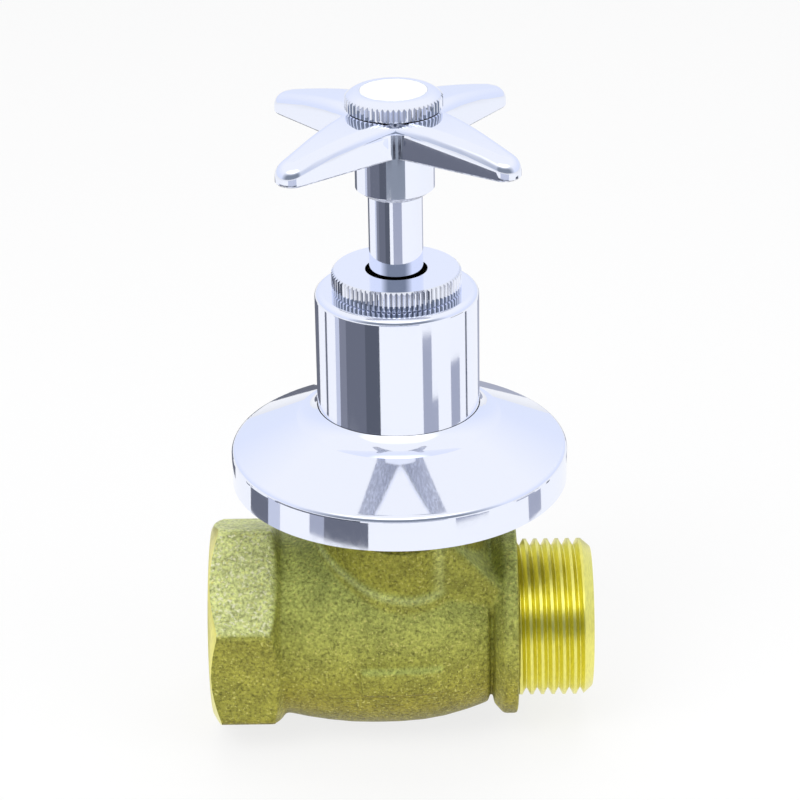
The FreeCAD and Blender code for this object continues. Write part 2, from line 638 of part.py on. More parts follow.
def spindle():
    """The rising spindle: foot, thread, shaft and a stud for the extension."""
    thread_top = SPINDLE_THREAD_Z + SPINDLE_THREAD_LENGTH
    shaft_top = EXTENSION_BASE_Z - SEATED
    stud_top = shaft_top + SPINDLE_STUD_LENGTH
    rod = turned([
        (0, SPINDLE_BASE_Z),
        (SPINDLE_FOOT_R, SPINDLE_BASE_Z),
        (SPINDLE_FOOT_R, SPINDLE_THREAD_Z),
        (SPINDLE_THREAD_R - 0.5, SPINDLE_THREAD_Z),
        (SPINDLE_THREAD_R, SPINDLE_THREAD_Z + 0.5),
        (SPINDLE_THREAD_R, thread_top - 0.5),
        (SPINDLE_THREAD_R - 0.5, thread_top),
        (SPINDLE_SHAFT_R, thread_top),
        (SPINDLE_SHAFT_R, shaft_top),
        (SPINDLE_STUD_R, shaft_top),
        (SPINDLE_STUD_R, stud_top - 0.4),
        (SPINDLE_STUD_R - 0.4, stud_top),
        (0, stud_top),
    ])
    socket_top = PLATE_TOP_Z + JUMPER_STEM_LENGTH + 0.5
    return rod.cut(disc(JUMPER_STEM_R + 2 * RUNNING, SPINDLE_BASE_Z - OVERCUT, socket_top))


def square_prism(width, z0, z1):
    """A square prism on the spindle's axis, turned with the handle's arms."""
    corner_r = width / math.sqrt(2)
    corners = []
    for i in range(4):
        angle = math.radians(HANDLE_ARM_TURN + 45 + 90 * i)
        corners.append(Vector(
            SPINDLE_X + corner_r * math.cos(angle),
            corner_r * math.sin(angle),
            z0,
        ))
    return outline_face(corners).extrude(Vector(0, 0, z1 - z0))


def spindle_extension():
    """The chromed rod between the spindle and the handle."""
    rod = disc(EXTENSION_R, EXTENSION_BASE_Z, SQUARE_BASE_Z)
    square = square_prism(EXTENSION_SQUARE, SQUARE_BASE_Z, SQUARE_TOP_Z)
    socket_top = EXTENSION_BASE_Z + SPINDLE_STUD_LENGTH + 0.3
    socket = disc(SPINDLE_STUD_R + THREAD_GAP, EXTENSION_BASE_Z - OVERCUT, socket_top)
    screw_hole_base = WELL_FLOOR_Z - HANDLE_SCREW_LENGTH - 0.8
    screw_hole = disc(HANDLE_SCREW_R + THREAD_GAP, screw_hole_base, SQUARE_TOP_Z + OVERCUT)
    return rod.fuse(square).cut([socket, screw_hole])


def arm_outline():
    """The handle's plan, a four-armed star with round tips, as a face."""
    tip_centre = HANDLE_ARM_REACH - HANDLE_TIP_R
    lean = math.asin((HANDLE_ROOT_HALF_WIDTH - HANDLE_TIP_R) / tip_centre)
    side = HANDLE_TIP_R * math.cos(lean)
    shift = tip_centre + HANDLE_TIP_R * math.sin(lean)
    crotch = HANDLE_ROOT_HALF_WIDTH / (1 + (HANDLE_ROOT_HALF_WIDTH - side) / shift)
    edges = []
    for i in range(HANDLE_ARMS):
        heading = math.radians(HANDLE_ARM_TURN + 360 / HANDLE_ARMS * i)

        def at(along, across):
            x = along * math.cos(heading) - across * math.sin(heading)
            y = along * math.sin(heading) + across * math.cos(heading)
            return Vector(SPINDLE_X + x, y, 0)

        edges += [
            Part.makeLine(at(crotch, -crotch), at(shift, -side)),
            Part.Arc(at(shift, -side), at(HANDLE_ARM_REACH, 0), at(shift, side)).toShape(),
            Part.makeLine(at(shift, side), at(crotch, crotch)),
        ]
    return Part.Face(Part.Wire(edges))


def handle_envelope():
    """The arms' side shape turned about the spindle: drooping base and top."""
    reach = HANDLE_ARM_REACH + OVERCUT
    base_z = HUB_BASE_Z + HANDLE_HUB_LENGTH
    tip_top = Vector(SPINDLE_X + reach, 0, CROWN_Z - HANDLE_TIP_TOP_DROP)
    crown = Vector(SPINDLE_X + HANDLE_CROWN_R, 0, CROWN_Z)
    mid_r = (reach + HANDLE_CROWN_R) / 2
    top_mid = Vector(SPINDLE_X + mid_r, 0, CROWN_Z - 0.38 * HANDLE_TIP_TOP_DROP)
    base_tip = Vector(SPINDLE_X + reach, 0, base_z - HANDLE_TIP_BASE_DROP)
    base_hub = Vector(SPINDLE_X + HANDLE_HUB_R, 0, base_z)
    centre_low = spindle_point(base_z)
    centre_high = spindle_point(CROWN_Z)
    wire = Part.Wire([
        Part.makeLine(centre_high, crown),
        Part.Arc(crown, top_mid, tip_top).toShape(),
        Part.makeLine(tip_top, base_tip),
        Part.makeLine(base_tip, base_hub),
        Part.makeLine(base_hub, centre_low),
        Part.makeLine(centre_low, centre_high),
    ])
    return Part.Face(wire).revolve(spindle_point(0), Vector(0, 0, 1), 360)


def handle():
    """The chromed cross handle: hub, four arms, screw well and square socket."""
    base_z = HUB_BASE_Z + HANDLE_HUB_LENGTH
    plan = arm_outline()
    plan.translate(Vector(0, 0, HUB_BASE_Z))
    star = plan.extrude(Vector(0, 0, CROWN_Z - HUB_BASE_Z + OVERCUT))
    crotch_r = HANDLE_HUB_R + 0.3
    crotches = [
        e for e in star.Edges
        if e.BoundBox.ZLength > OVERCUT
        and math.hypot(e.BoundBox.Center.x - SPINDLE_X, e.BoundBox.Center.y) > crotch_r
        and math.hypot(e.BoundBox.Center.x - SPINDLE_X, e.BoundBox.Center.y) < HANDLE_ARM_REACH / 2
    ]
    star = star.makeFillet(HANDLE_CROTCH_R, crotches)
    arms = star.common(handle_envelope())

    def is_outer(edge):
        box = edge.BoundBox
        near = math.hypot(box.Center.x - SPINDLE_X, box.Center.y)
        return box.ZLength < 3 and near > HANDLE_HUB_R

    tops = [e for e in arms.Edges if is_outer(e) and e.BoundBox.ZMin > base_z + 1.2]
    arms = arms.makeFillet(HANDLE_EDGE_R, tops)
    unders = [e for e in arms.Edges if is_outer(e) and e.BoundBox.ZMax < base_z + 0.3]
    unders = [e for e in unders if len(arms.ancestorsOfType(e, Part.Face)) == 2]
    arms = arms.makeFillet(HANDLE_UNDER_EDGE_R, unders)
    hub = turned([
        (0, HUB_BASE_Z),
        (HANDLE_HUB_R - HANDLE_HUB_CHAMFER, HUB_BASE_Z),
        (HANDLE_HUB_R - 0.35, HUB_BASE_Z + 0.55 * HANDLE_HUB_CHAMFER),
        (HANDLE_HUB_R, HUB_BASE_Z + HANDLE_HUB_CHAMFER),
        (HANDLE_HUB_R, base_z + OVERCUT),
        (0, base_z + OVERCUT),
    ])
    well = disc(HANDLE_WELL_R, WELL_FLOOR_Z, CROWN_Z + OVERCUT)
    shaft = disc(EXTENSION_R + SEATED, HUB_BASE_Z - OVERCUT, SQUARE_BASE_Z)
    square = square_prism(EXTENSION_SQUARE + 2 * RUNNING, SQUARE_BASE_Z - 0.5, WELL_FLOOR_Z + 0.5)
    return arms.fuse(hub).cut([well, shaft, square])


def handle_washer():
    """The spring washer under the handle's screw."""
    top = WELL_FLOOR_Z + HANDLE_WASHER_THICKNESS
    return tube(HANDLE_WASHER_R, HANDLE_SCREW_R + RUNNING, WELL_FLOOR_Z, top)


def handle_screw():
    """The slotted screw that holds the handle on the extension."""
    head_z = WELL_FLOOR_Z + HANDLE_WASHER_THICKNESS
    head_top = head_z + HANDLE_SCREW_HEAD_HEIGHT
    shank_base = WELL_FLOOR_Z - HANDLE_SCREW_LENGTH
    screw = turned([
        (0, shank_base),
        (HANDLE_SCREW_R - 0.4, shank_base),
        (HANDLE_SCREW_R, shank_base + 0.4),
        (HANDLE_SCREW_R, head_z),
        (HANDLE_SCREW_HEAD_R, head_z),
        (HANDLE_SCREW_HEAD_R, head_top - 0.5),
        (HANDLE_SCREW_HEAD_R - 0.5, head_top),
        (0, head_top),
    ])
    slot = Part.makeBox(
        2 * HANDLE_SCREW_HEAD_R + OVERCUT,
        HANDLE_SCREW_SLOT,
        HANDLE_SCREW_HEAD_HEIGHT,
        Vector(
            SPINDLE_X - HANDLE_SCREW_HEAD_R - OVERCUT / 2,
            -HANDLE_SCREW_SLOT / 2,
            head_top - 0.5 * HANDLE_SCREW_HEAD_HEIGHT,
        ),
    )
    return screw.cut(slot)


def index_cap():
    """The knurled cap on the handle: toothed rim, domed top and a spigot."""
    blank = knurled_disc(CAP_R, CAP_TEETH, CAP_BASE_Z, CAP_TOP_Z)

    def at(r, z):
        return Vector(SPINDLE_X + r, 0, z)

    lip_r = DISC_R + 0.25
    dome_foot = at(CAP_R + RUNNING, CAP_KNURL_TOP_Z)
    dome_mid = at(CAP_R - 0.75, CAP_KNURL_TOP_Z + 0.66 * CAP_DOME_HEIGHT)
    dome_top = at(lip_r, CAP_TOP_Z)
    wire = Part.Wire([
        Part.makeLine(at(0, CAP_BASE_Z), at(CAP_R - 0.25, CAP_BASE_Z)),
        Part.makeLine(at(CAP_R - 0.25, CAP_BASE_Z), at(CAP_R + RUNNING, CAP_BASE_Z + 0.3)),
        Part.makeLine(at(CAP_R + RUNNING, CAP_BASE_Z + 0.3), dome_foot),
        Part.Arc(dome_foot, dome_mid, dome_top).toShape(),
        Part.makeLine(dome_top, at(0, CAP_TOP_Z)),
        Part.makeLine(at(0, CAP_TOP_Z), at(0, CAP_BASE_Z)),
    ])
    envelope = Part.Face(wire).revolve(spindle_point(0), Vector(0, 0, 1), 360)
    spigot_r = HANDLE_WELL_R - SEATED
    spigot = tube(
        spigot_r,
        spigot_r - CAP_SPIGOT_WALL,
        CAP_BASE_Z - CAP_SPIGOT_LENGTH,
        CAP_BASE_Z + SEATED,
    )
    recess = disc(DISC_R + SEATED, DISC_BASE_Z, CAP_TOP_Z + OVERCUT)
    return blank.common(envelope).fuse(spigot).cut(recess)


def index_disc():
    """The plain white disc set in the cap, slightly domed."""
    edge_z = DISC_BASE_Z + DISC_THICKNESS - DISC_DOME
    edge = Vector(SPINDLE_X + DISC_R, 0, edge_z)
    middle = spindle_point(edge_z + DISC_DOME)
    sphere_r = (DISC_R ** 2 + DISC_DOME ** 2) / (2 * DISC_DOME)
    half_turn = math.asin(DISC_R / sphere_r) / 2
    centre_z = middle.z - sphere_r
    between = Vector(
        SPINDLE_X + sphere_r * math.sin(half_turn),
        0,
        centre_z + sphere_r * math.cos(half_turn),
    )
    low_edge = Vector(SPINDLE_X + DISC_R, 0, DISC_BASE_Z)
    wire = Part.Wire([
        Part.Arc(middle, between, edge).toShape(),
        Part.makeLine(edge, low_edge),
        Part.makeLine(low_edge, spindle_point(DISC_BASE_Z)),
        Part.makeLine(spindle_point(DISC_BASE_Z), middle),
    ])
    return Part.Face(wire).revolve(spindle_point(0), Vector(0, 0, 1), 360)


def main():
    """Builds each piece and writes it as its own STEP file."""
    pieces = {
        "valve_body": valve_body(),
        "bonnet": bonnet(),
        "bonnet_gasket": bonnet_gasket(),
        "gland_nut": gland_nut(),
        "extension_nipple": extension_nipple(),
        "cover_sleeve": cover_sleeve(),
        "lock_ring": lock_ring(),
        "wall_flange": wall_flange(),
        "flange_grip_ring": flange_grip_ring(),
        "jumper": jumper(),
        "seat_washer": seat_washer(),
        "retaining_washer": retaining_washer(),
        "jumper_nut": jumper_nut(),
        "spindle": spindle(),
        "spindle_extension": spindle_extension(),
        "handle": handle(),
        "handle_washer": handle_washer(),
        "handle_screw": handle_screw(),
        "index_cap": index_cap(),
        "index_disc": index_disc(),
    }
    for index in range(PACKING_RINGS):
        pieces[f"packing_ring_{index + 1}"] = packing_ring(index)
    os.makedirs("parts", exist_ok=True)
    for name, shape in pieces.items():
        shape.exportStep(f"parts/{name}.step")
        size = shape.BoundBox
        print(
            f"{name}: {len(shape.Solids)} solid, {shape.Volume:.1f} mm3,"
            f" z {size.ZMin:.2f} to {size.ZMax:.2f}, valid {shape.isValid()}"
        )


main()
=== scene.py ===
"""Dresses the concealed stop valve: cast body, turned thread, chromed trim and a cross handle."""

import json
import math

import bmesh
import bpy
from bpy.props import FloatProperty, FloatVectorProperty, IntProperty, PointerProperty
from mathutils import Matrix, Vector


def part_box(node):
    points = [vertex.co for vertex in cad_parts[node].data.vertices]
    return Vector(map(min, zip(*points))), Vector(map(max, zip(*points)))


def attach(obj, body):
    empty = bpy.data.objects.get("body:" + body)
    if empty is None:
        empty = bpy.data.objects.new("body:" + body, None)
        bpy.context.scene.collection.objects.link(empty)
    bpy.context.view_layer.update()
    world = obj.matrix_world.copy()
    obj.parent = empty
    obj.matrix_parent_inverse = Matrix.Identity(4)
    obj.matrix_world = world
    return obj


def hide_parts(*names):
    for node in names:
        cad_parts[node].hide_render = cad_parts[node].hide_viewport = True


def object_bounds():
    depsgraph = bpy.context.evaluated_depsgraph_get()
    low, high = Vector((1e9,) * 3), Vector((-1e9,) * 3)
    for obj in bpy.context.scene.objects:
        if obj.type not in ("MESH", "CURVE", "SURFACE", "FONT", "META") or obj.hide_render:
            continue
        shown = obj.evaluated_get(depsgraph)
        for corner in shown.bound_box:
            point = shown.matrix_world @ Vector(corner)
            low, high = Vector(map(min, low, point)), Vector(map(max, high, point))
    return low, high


bl_info = {
    "name": "Concealed stop valve",
    "version": (1, 0, 0),
    "blender": (4, 5, 0),
    "location": "View3D > Sidebar > Stop valve",
    "description": "Models and finishes a concealed stop valve with a cross handle",
    "category": "Add Mesh",
}

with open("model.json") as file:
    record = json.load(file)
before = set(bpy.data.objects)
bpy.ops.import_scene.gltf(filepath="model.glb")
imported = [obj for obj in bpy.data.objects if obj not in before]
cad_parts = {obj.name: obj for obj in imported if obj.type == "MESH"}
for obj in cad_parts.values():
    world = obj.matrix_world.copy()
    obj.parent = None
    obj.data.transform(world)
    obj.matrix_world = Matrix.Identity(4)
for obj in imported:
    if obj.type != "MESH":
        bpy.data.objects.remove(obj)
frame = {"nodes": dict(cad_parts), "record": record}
CAD_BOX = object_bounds()
MM = 0.001
PIPE = Vector((1, 0, 0))
UP = Vector((0, 0, 1))
ORIGIN = Vector((0, 0, 0))
WELD = 1e-7
WHITE = (1, 1, 1, 1)
BLACK = (0, 0, 0, 1)


def node_mid(node):
    """The middle of a CAD node's box."""
    low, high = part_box(node)
    return (low + high) / 2


SPINDLE = Vector((node_mid("spindle").x, 0, 0))
THREAD_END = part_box("valve_body")[1].x
THREAD_START = THREAD_END - 12.6 * MM
HEX_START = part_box("valve_body")[0].x
MADE = {}
SPECIAL = {
    "handle": "chrome_under",
    "wall_flange": "chrome_under",
    "lock_ring": "lock_knurl",
    "index_cap": "cap_knurl",
}


# Each card: nearest and farthest distance from the spindle in mm, first and last
# heading in degrees from the front towards the right, and its tone.
CARD_DARK = (0.16, 0.17, 0.21)
CARD_DEEP = (0.11, 0.12, 0.15)
CARD_GREY = (0.24, 0.25, 0.30)
CARD_MID = (0.42, 0.44, 0.53)
CARD_SOFT = (0.62, 0.65, 0.76)
CARD_FAR = (0.28, 0.31, 0.36)
CARD_BLACK = (0.02, 0.02, 0.03)
FLOOR_CARDS = (
    (114, 131, -47, -19, CARD_DARK),
    (105, 121, -111, -91, CARD_DARK),
    (108, 121, 88, 101, CARD_MID),
    (105, 121, -91, -80, CARD_SOFT),
    (114, 131, -57, -47, CARD_MID),
    (131, 320, -94, -86, CARD_SOFT),
    (131, 320, -86, -74, CARD_GREY),
    (131, 320, -74, -44, CARD_DARK),
    (131, 320, -44, -24, CARD_DEEP),
    (122, 200, -118, -113, CARD_DARK),
    (122, 200, 107, 111, CARD_DARK),
    (122, 150, 34, 56, CARD_MID),
    (150, 184, 34, 47, CARD_MID),
    (122, 165, 77, 94, CARD_MID),
    (201, 252, -10, 27, CARD_MID),
    (252, 306, -24, 30, CARD_FAR),
    (306, 900, -24, 30, CARD_SOFT),
    (284, 301, -22, -8, CARD_BLACK),
    (284, 301, 8, 22, CARD_BLACK),
    (285, 340, 76.2, 100, CARD_DEEP),
    (105, 300, 150, 176, CARD_MID),
    (105, 300, -172, -140, CARD_DARK),
)


# Finishes

# Tones of the cast skin: the warmer neck, the painted highlight along the bead, painted glints, and painted
# sparkle on the hexagon's upper flats.
NECK_TINT = (0.98, 0.91, 0.6, 1)
BEAD_HIGHLIGHT_TONE = (0.72, 0.77, 0.27, 1)
GLINT_TONE = (0.80, 0.76, 0.22, 1)
HEX_SPARKLE_TONE = (1.0, 1.0, 0.70, 1)


def new_material(name):
    """An empty node material and its shader."""
    material = bpy.data.materials.new(name)
    material.use_nodes = True
    return material, material.node_tree.nodes["Principled BSDF"]


def add_node(material, kind, **values):
    """A shader node with its properties and its unlinked inputs set."""
    node = material.node_tree.nodes.new(kind)
    for key, value in values.items():
        if hasattr(node, key):
            setattr(node, key, value)
        else:
            node.inputs[key.replace("_", " ")].default_value = value
    return node


def link(material, out_socket, in_socket):
    """Joins two sockets of a material."""
    material.node_tree.links.new(out_socket, in_socket)


def noise(material, scale, detail=2.0, roughness=0.5, stretch=(1, 1, 1)):
    """Noise on the object's own coordinates, with its scale in blobs per metre."""
    coords = add_node(material, "ShaderNodeTexCoord")
    mapping = add_node(material, "ShaderNodeMapping")
    mapping.inputs["Scale"].default_value = stretch
    texture = add_node(material, "ShaderNodeTexNoise", Scale=scale, Detail=detail, Roughness=roughness)
    link(material, coords.outputs["Object"], mapping.inputs["Vector"])
    link(material, mapping.outputs["Vector"], texture.inputs["Vector"])
    return texture


def ramp(material, source, stops):
    """A colour ramp over source, from (position, colour) stops."""
    node = add_node(material, "ShaderNodeValToRGB")
    elements = node.color_ramp.elements
    while len(elements) < len(stops):
        elements.new(0.5)
    for element, (position, colour) in zip(elements, stops):
        element.position = position
        element.color = (*colour, 1.0)
    link(material, source, node.inputs["Fac"])
    return node


def grey(value):
    """A grey for a ramp that drives a number."""
    return (value, value, value)


def map_range(material, source, low, high, to_low, to_high):
    """A clamped linear change of range; returns the output socket."""
    node = add_node(material, "ShaderNodeMapRange")
    for name, value in (("From Min", low), ("From Max", high), ("To Min", to_low), ("To Max", to_high)):
        node.inputs[name].default_value = value
    link(material, source, node.inputs["Value"])
    return node.outputs["Result"]


def mix_colours(material, factor, first, second, blend="MIX"):
    """Mixes two colours, each a socket or four numbers; returns the output socket."""
    node = add_node(material, "ShaderNodeMix", data_type="RGBA", blend_type=blend)
    for socket, value in ((node.inputs[0], factor), (node.inputs[6], first), (node.inputs[7], second)):
        if isinstance(value, bpy.types.NodeSocket):
            link(material, value, socket)
        else:
            socket.default_value = value
    return node.outputs[2]


def facing_up(material, low, high):
    """0 to 1 as the surface turns from one slope to another; 1 is level and facing up."""
    coords = add_node(material, "ShaderNodeTexCoord")
    axes = add_node(material, "ShaderNodeSeparateXYZ")
    link(material, coords.outputs["Normal"], axes.inputs[0])
    return map_range(material, axes.outputs["Z"], low, high, 0, 1)


def from_spindle(material, low, high):
    """0 to 1 between two distances from the spindle's axis, in metres."""
    coords = add_node(material, "ShaderNodeTexCoord")
    offset = add_node(material, "ShaderNodeMapping")
    offset.inputs["Location"].default_value = -SPINDLE
    offset.inputs["Scale"].default_value = (1, 1, 0)
    length = add_node(material, "ShaderNodeVectorMath", operation="LENGTH")
    link(material, coords.outputs["Object"], offset.inputs["Vector"])
    link(material, offset.outputs["Vector"], length.inputs[0])
    return map_range(material, length.outputs["Value"], low, high, 0, 1)


def product(material, first, second):
    """The product of two output sockets."""
    node = add_node(material, "ShaderNodeMath", operation="MULTIPLY")
    link(material, first, node.inputs[0])
    link(material, second, node.inputs[1])
    return node.outputs[0]


def ring_round_spindle(material, low, middle, high):
    """1 at one distance from the spindle's axis, falling to 0 at the two others."""
    return product(
        material,
        from_spindle(material, low, middle),
        map_range(material, from_spindle(material, middle, high), 0, 1, 1, 0),
    )


def along_axis(material, axis, low, high):
    """0 to 1 between two places on one of the object's axes, in metres."""
    coords = add_node(material, "ShaderNodeTexCoord")
    axes = add_node(material, "ShaderNodeSeparateXYZ")
    link(material, coords.outputs["Object"], axes.inputs[0])
    return map_range(material, axes.outputs[axis], low, high, 0, 1)


def hexagon_tops(material):
    """1 on the flats of the spanner hexagon that face up, 0 elsewhere."""
    return product(
        material, along_axis(material, "X", 10.2 * MM, 9.2 * MM), facing_up(material, 0.25, 0.55)
    )


def add_bump(material, shader, height, strength, distance, below=None):
    """Bump from a height socket, on top of another bump where one is given."""
    bump = add_node(material, "ShaderNodeBump", Strength=strength, Distance=distance)
    link(material, height, bump.inputs["Height"])
    if below:
        link(material, below.outputs["Normal"], bump.inputs["Normal"])
    link(material, bump.outputs["Normal"], shader.inputs["Normal"])
    return bump


def cast_brass(colours):
    """Sand-cast brass: olive skin and dark pits, with painted light and shade tied to its places: painted
    reflection tones by slope, painted shade below, painted highlights on the bead and the hexagon's upper
    flats, and yellow painted glints.
    """
    material, shader = new_material("cast_brass")
    shader.inputs["Metallic"].default_value = 0.6
    shader.inputs["Specular IOR Level"].default_value = 0.4
    blotch = noise(material, 260, 6, 0.75)
    grain = noise(material, 1900, 6, 0.72)
    pits = noise(material, 3800, 3, 0.7)
    # Painted reflection: a cooler tone where the skin faces up, a warmer one where it faces down.
    warm = (*colours.cast_down_painted_tone, 1)
    cool = (*colours.cast_up_painted_tone, 1)
    tone = mix_colours(material, facing_up(material, -0.5, 0.75), warm, cool)
    # Painted shade where the skin faces down.
    under = mix_colours(material, facing_up(material, -0.98, -0.45), (*grey(0.38), 1), WHITE)
    tone = mix_colours(material, 1.0, tone, under, "MULTIPLY")
    # Painted light: a pale tone on the hexagon's upper flats.
    hex_painted_light = hexagon_tops(material)
    tone = mix_colours(material, hex_painted_light, tone, (*colours.cast_hex_painted_light, 1))
    upper = along_axis(material, "Z", 3 * MM, 4 * MM)
    neck = product(material, upper, from_spindle(material, 14.1 * MM, 13.7 * MM))
    tone = mix_colours(material, 1.0, tone, mix_colours(material, neck, WHITE, NECK_TINT), "MULTIPLY")
    # Painted highlight: a pale line along the bead round the neck.
    bead = product(
        material,
        ring_round_spindle(material, 14.1 * MM, 14.5 * MM, 14.9 * MM),
        product(material, upper, along_axis(material, "X", SPINDLE.x + 8 * MM, SPINDLE.x + 5 * MM)),
    )
    tone = mix_colours(material, bead, tone, BEAD_HIGHLIGHT_TONE)
    patch = ramp(material, blotch.outputs["Fac"], [(0.38, grey(0.78)), (0.62, grey(1.16))])
    speck = ramp(material, grain.outputs["Fac"], [
        (0.36, grey(0.42)),
        (0.5, grey(0.95)),
        (0.66, grey(1.35)),
    ])
    mottled = mix_colours(material, 1.0, tone, patch.outputs["Color"], "MULTIPLY")
    speckled = mix_colours(material, 1.0, mottled, speck.outputs["Color"], "MULTIPLY")
    # Painted glints: yellow spots over the whole skin.
    glint = ramp(material, noise(material, 2100, 2, 0.5).outputs["Fac"], [(0.6, grey(0)), (0.72, grey(0.85))])
    sparkling = mix_colours(material, glint.outputs["Color"], speckled, GLINT_TONE)
    # Painted sparkle: near-white spots on the hexagon's upper flats.
    sparkle_spot = ramp(material, noise(material, 1500, 3, 0.6).outputs["Fac"], [(0.54, grey(0)), (0.66, grey(1))])
    sparkle_spots = mix_colours(material, hex_painted_light, BLACK, sparkle_spot.outputs["Color"])
    sparkling = mix_colours(material, sparkle_spots, sparkling, HEX_SPARKLE_TONE)
    link(material, sparkling, shader.inputs["Base Color"])
    rough = ramp(material, pits.outputs["Fac"], [(0.38, grey(0.55)), (0.62, grey(0.26))])
    link(material, rough.outputs["Color"], shader.inputs["Roughness"])
    coarse = add_bump(material, shader, grain.outputs["Fac"], 0.8, 0.3 * MM)
    add_bump(material, shader, pits.outputs["Fac"], 0.5, 0.15 * MM, coarse)
    return material


def turned_brass(name, colour, roughness, axis_scale):
    """Brass turned on a lathe: fine rings across the given axis."""
    material, shader = new_material(name)
    shader.inputs["Metallic"].default_value = 1.0
    shader.inputs["Roughness"].default_value = roughness
    rings = noise(material, 900, 2, 0.6, axis_scale)
    tone = ramp(material, rings.outputs["Fac"], [
        (0.3, tuple(c * 0.86 for c in colour)),
        (0.7, tuple(min(c * 1.06, 1.0) for c in colour)),
    ])
    link(material, tone.outputs["Color"], shader.inputs["Base Color"])
    add_bump(material, shader, rings.outputs["Fac"], 0.25, 0.04 * MM)
    return material


def chrome_plate(name, colour, roughness, ripple, knurl=None, root=0.2, dull_and_shaded_below=None):
    """Bright plating with a faint ripple; painted shade in a knurl's roots, and where it faces down a rougher
    finish with painted shade.
    """
    material, shader = new_material(name)
    shader.inputs["Metallic"].default_value = 1.0
    waves = noise(material, 90, 2, 0.5)
    haze = noise(material, 700, 3, 0.6)
    tone = (*colour, 1.0)
    rough = ramp(material, haze.outputs["Fac"], [
        (0.3, grey(roughness * 0.7)),
        (0.8, grey(roughness * 1.5)),
    ]).outputs["Color"]
    # Painted shade: the knurl's roots, and flanks that don't face up, take the darker root grey.
    if knurl:
        raised = add_node(material, "ShaderNodeMath", operation="MAXIMUM")
        link(material, from_spindle(material, *knurl), raised.inputs[0])
        link(material, facing_up(material, 0.3, 0.8), raised.inputs[1])
        raised = raised.outputs[0]
        tone = mix_colours(material, raised, (*grey(root), 1), tone)
    # Painted shade, mottled, where the surface faces down, with a rougher finish.
    if dull_and_shaded_below is not None:
        polished = facing_up(material, dull_and_shaded_below - 0.12, dull_and_shaded_below + 0.12)
        shaded_under_tone = ramp(material, noise(material, 1600, 3, 0.6).outputs["Fac"], [
            (0.45, (0.52, 0.53, 0.58)),
            (0.62, (0.95, 0.96, 1.0)),
        ])
        tone = mix_colours(material, polished, shaded_under_tone.outputs["Color"], tone)
        rough = mix_colours(material, polished, (*grey(0.42), 1), rough)
    if isinstance(tone, tuple):
        shader.inputs["Base Color"].default_value = tone
    else:
        link(material, tone, shader.inputs["Base Color"])
    link(material, rough, shader.inputs["Roughness"])
    add_bump(material, shader, waves.outputs["Fac"], ripple, 0.05 * MM)
    return material


def plain_finish(name, colour, roughness, metallic=0.0, grain_scale=1500, depth=0.03):
    """A moulded or pressed surface with a fine grain."""
    material, shader = new_material(name)
    shader.inputs["Metallic"].default_value = metallic
    grain = noise(material, grain_scale, 3, 0.6)
    tone = ramp(material, grain.outputs["Fac"], [
        (0.3, tuple(c * 0.93 for c in colour)),
        (0.7, tuple(min(c * 1.03, 1.0) for c in colour)),
    ])
    link(material, tone.outputs["Color"], shader.inputs["Base Color"])
    rough = ramp(material, grain.outputs["Fac"], [
        (0.3, grey(roughness * 0.85)),
        (0.7, grey(min(roughness * 1.15, 1.0))),
    ])
    link(material, rough.outputs["Color"], shader.inputs["Roughness"])
    add_bump(material, shader, grain.outputs["Fac"], 0.3, depth * MM)
    return material


def white_for_eye_and_metal(material, share):
    """Makes a pale stage surface read as white in view and in reflections."""
    nodes = material.node_tree.nodes
    shader = nodes["Principled BSDF"]
    output = nodes["Material Output"]
    path = add_node(material, "ShaderNodeLightPath")
    either = add_node(material, "ShaderNodeMath", operation="MAXIMUM")
    scaled = add_node(material, "ShaderNodeMath", operation="MULTIPLY")
    scaled.inputs[1].default_value = share
    glow = add_node(material, "ShaderNodeEmission", Strength=1.0)
    glow.inputs["Color"].default_value = WHITE
    mix = add_node(material, "ShaderNodeMixShader")
    link(material, path.outputs["Is Camera Ray"], either.inputs[0])
    link(material, path.outputs["Is Glossy Ray"], either.inputs[1])
    link(material, either.outputs[0], scaled.inputs[0])
    link(material, scaled.outputs[0], mix.inputs["Fac"])
    link(material, shader.outputs[0], mix.inputs[1])
    link(material, glow.outputs[0], mix.inputs[2])
    link(material, mix.outputs[0], output.inputs["Surface"])


# Modelling


def mesh_object(name, bm):
    """An object in the scene that holds a bmesh, which it uses up."""
    mesh = bpy.data.meshes.new(name)
    bm.to_mesh(mesh)
    bm.free()
    holder = bpy.data.objects.new(name, mesh)
    bpy.context.scene.collection.objects.link(holder)
    return holder


def clean(bm):
    """Welds the seams of a bmesh and turns its faces outwards."""
    bmesh.ops.remove_doubles(bm, verts=bm.verts, dist=WELD)
    bmesh.ops.recalc_face_normals(bm, faces=bm.faces)
    return bm


def finish_piece(bm, name, material, body, replaces=(), crease=32.0):
    """Turns a bmesh into a shaded object that rides on a body."""
    piece = mesh_object(name, clean(bm))
    for polygon in piece.data.polygons:
        polygon.use_smooth = True
    piece.data.set_sharp_from_angle(angle=math.radians(crease))
    piece.data.materials.append(material)
    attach(piece, body)
    if replaces:
        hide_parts(*replaces)
    return piece


def spun(profile, axis, centre, steps, closed=True):
    """A bmesh turned from a profile of points about an axis."""
    bm = bmesh.new()
    verts = [bm.verts.new(p) for p in profile]
    count = len(verts)
    last = count if closed else count - 1
    edges = [bm.edges.new((verts[i], verts[(i + 1) % count])) for i in range(last)]
    bmesh.ops.spin(
        bm,
        geom=verts + edges,
        cent=centre,
        axis=axis,
        angle=math.tau,
        steps=steps,
        use_merge=True,
    )
    return bm


def drop_part(part):
    """Removes a working object and its mesh."""
    mesh = part.data
    bpy.data.objects.remove(part)
    bpy.data.meshes.remove(mesh)


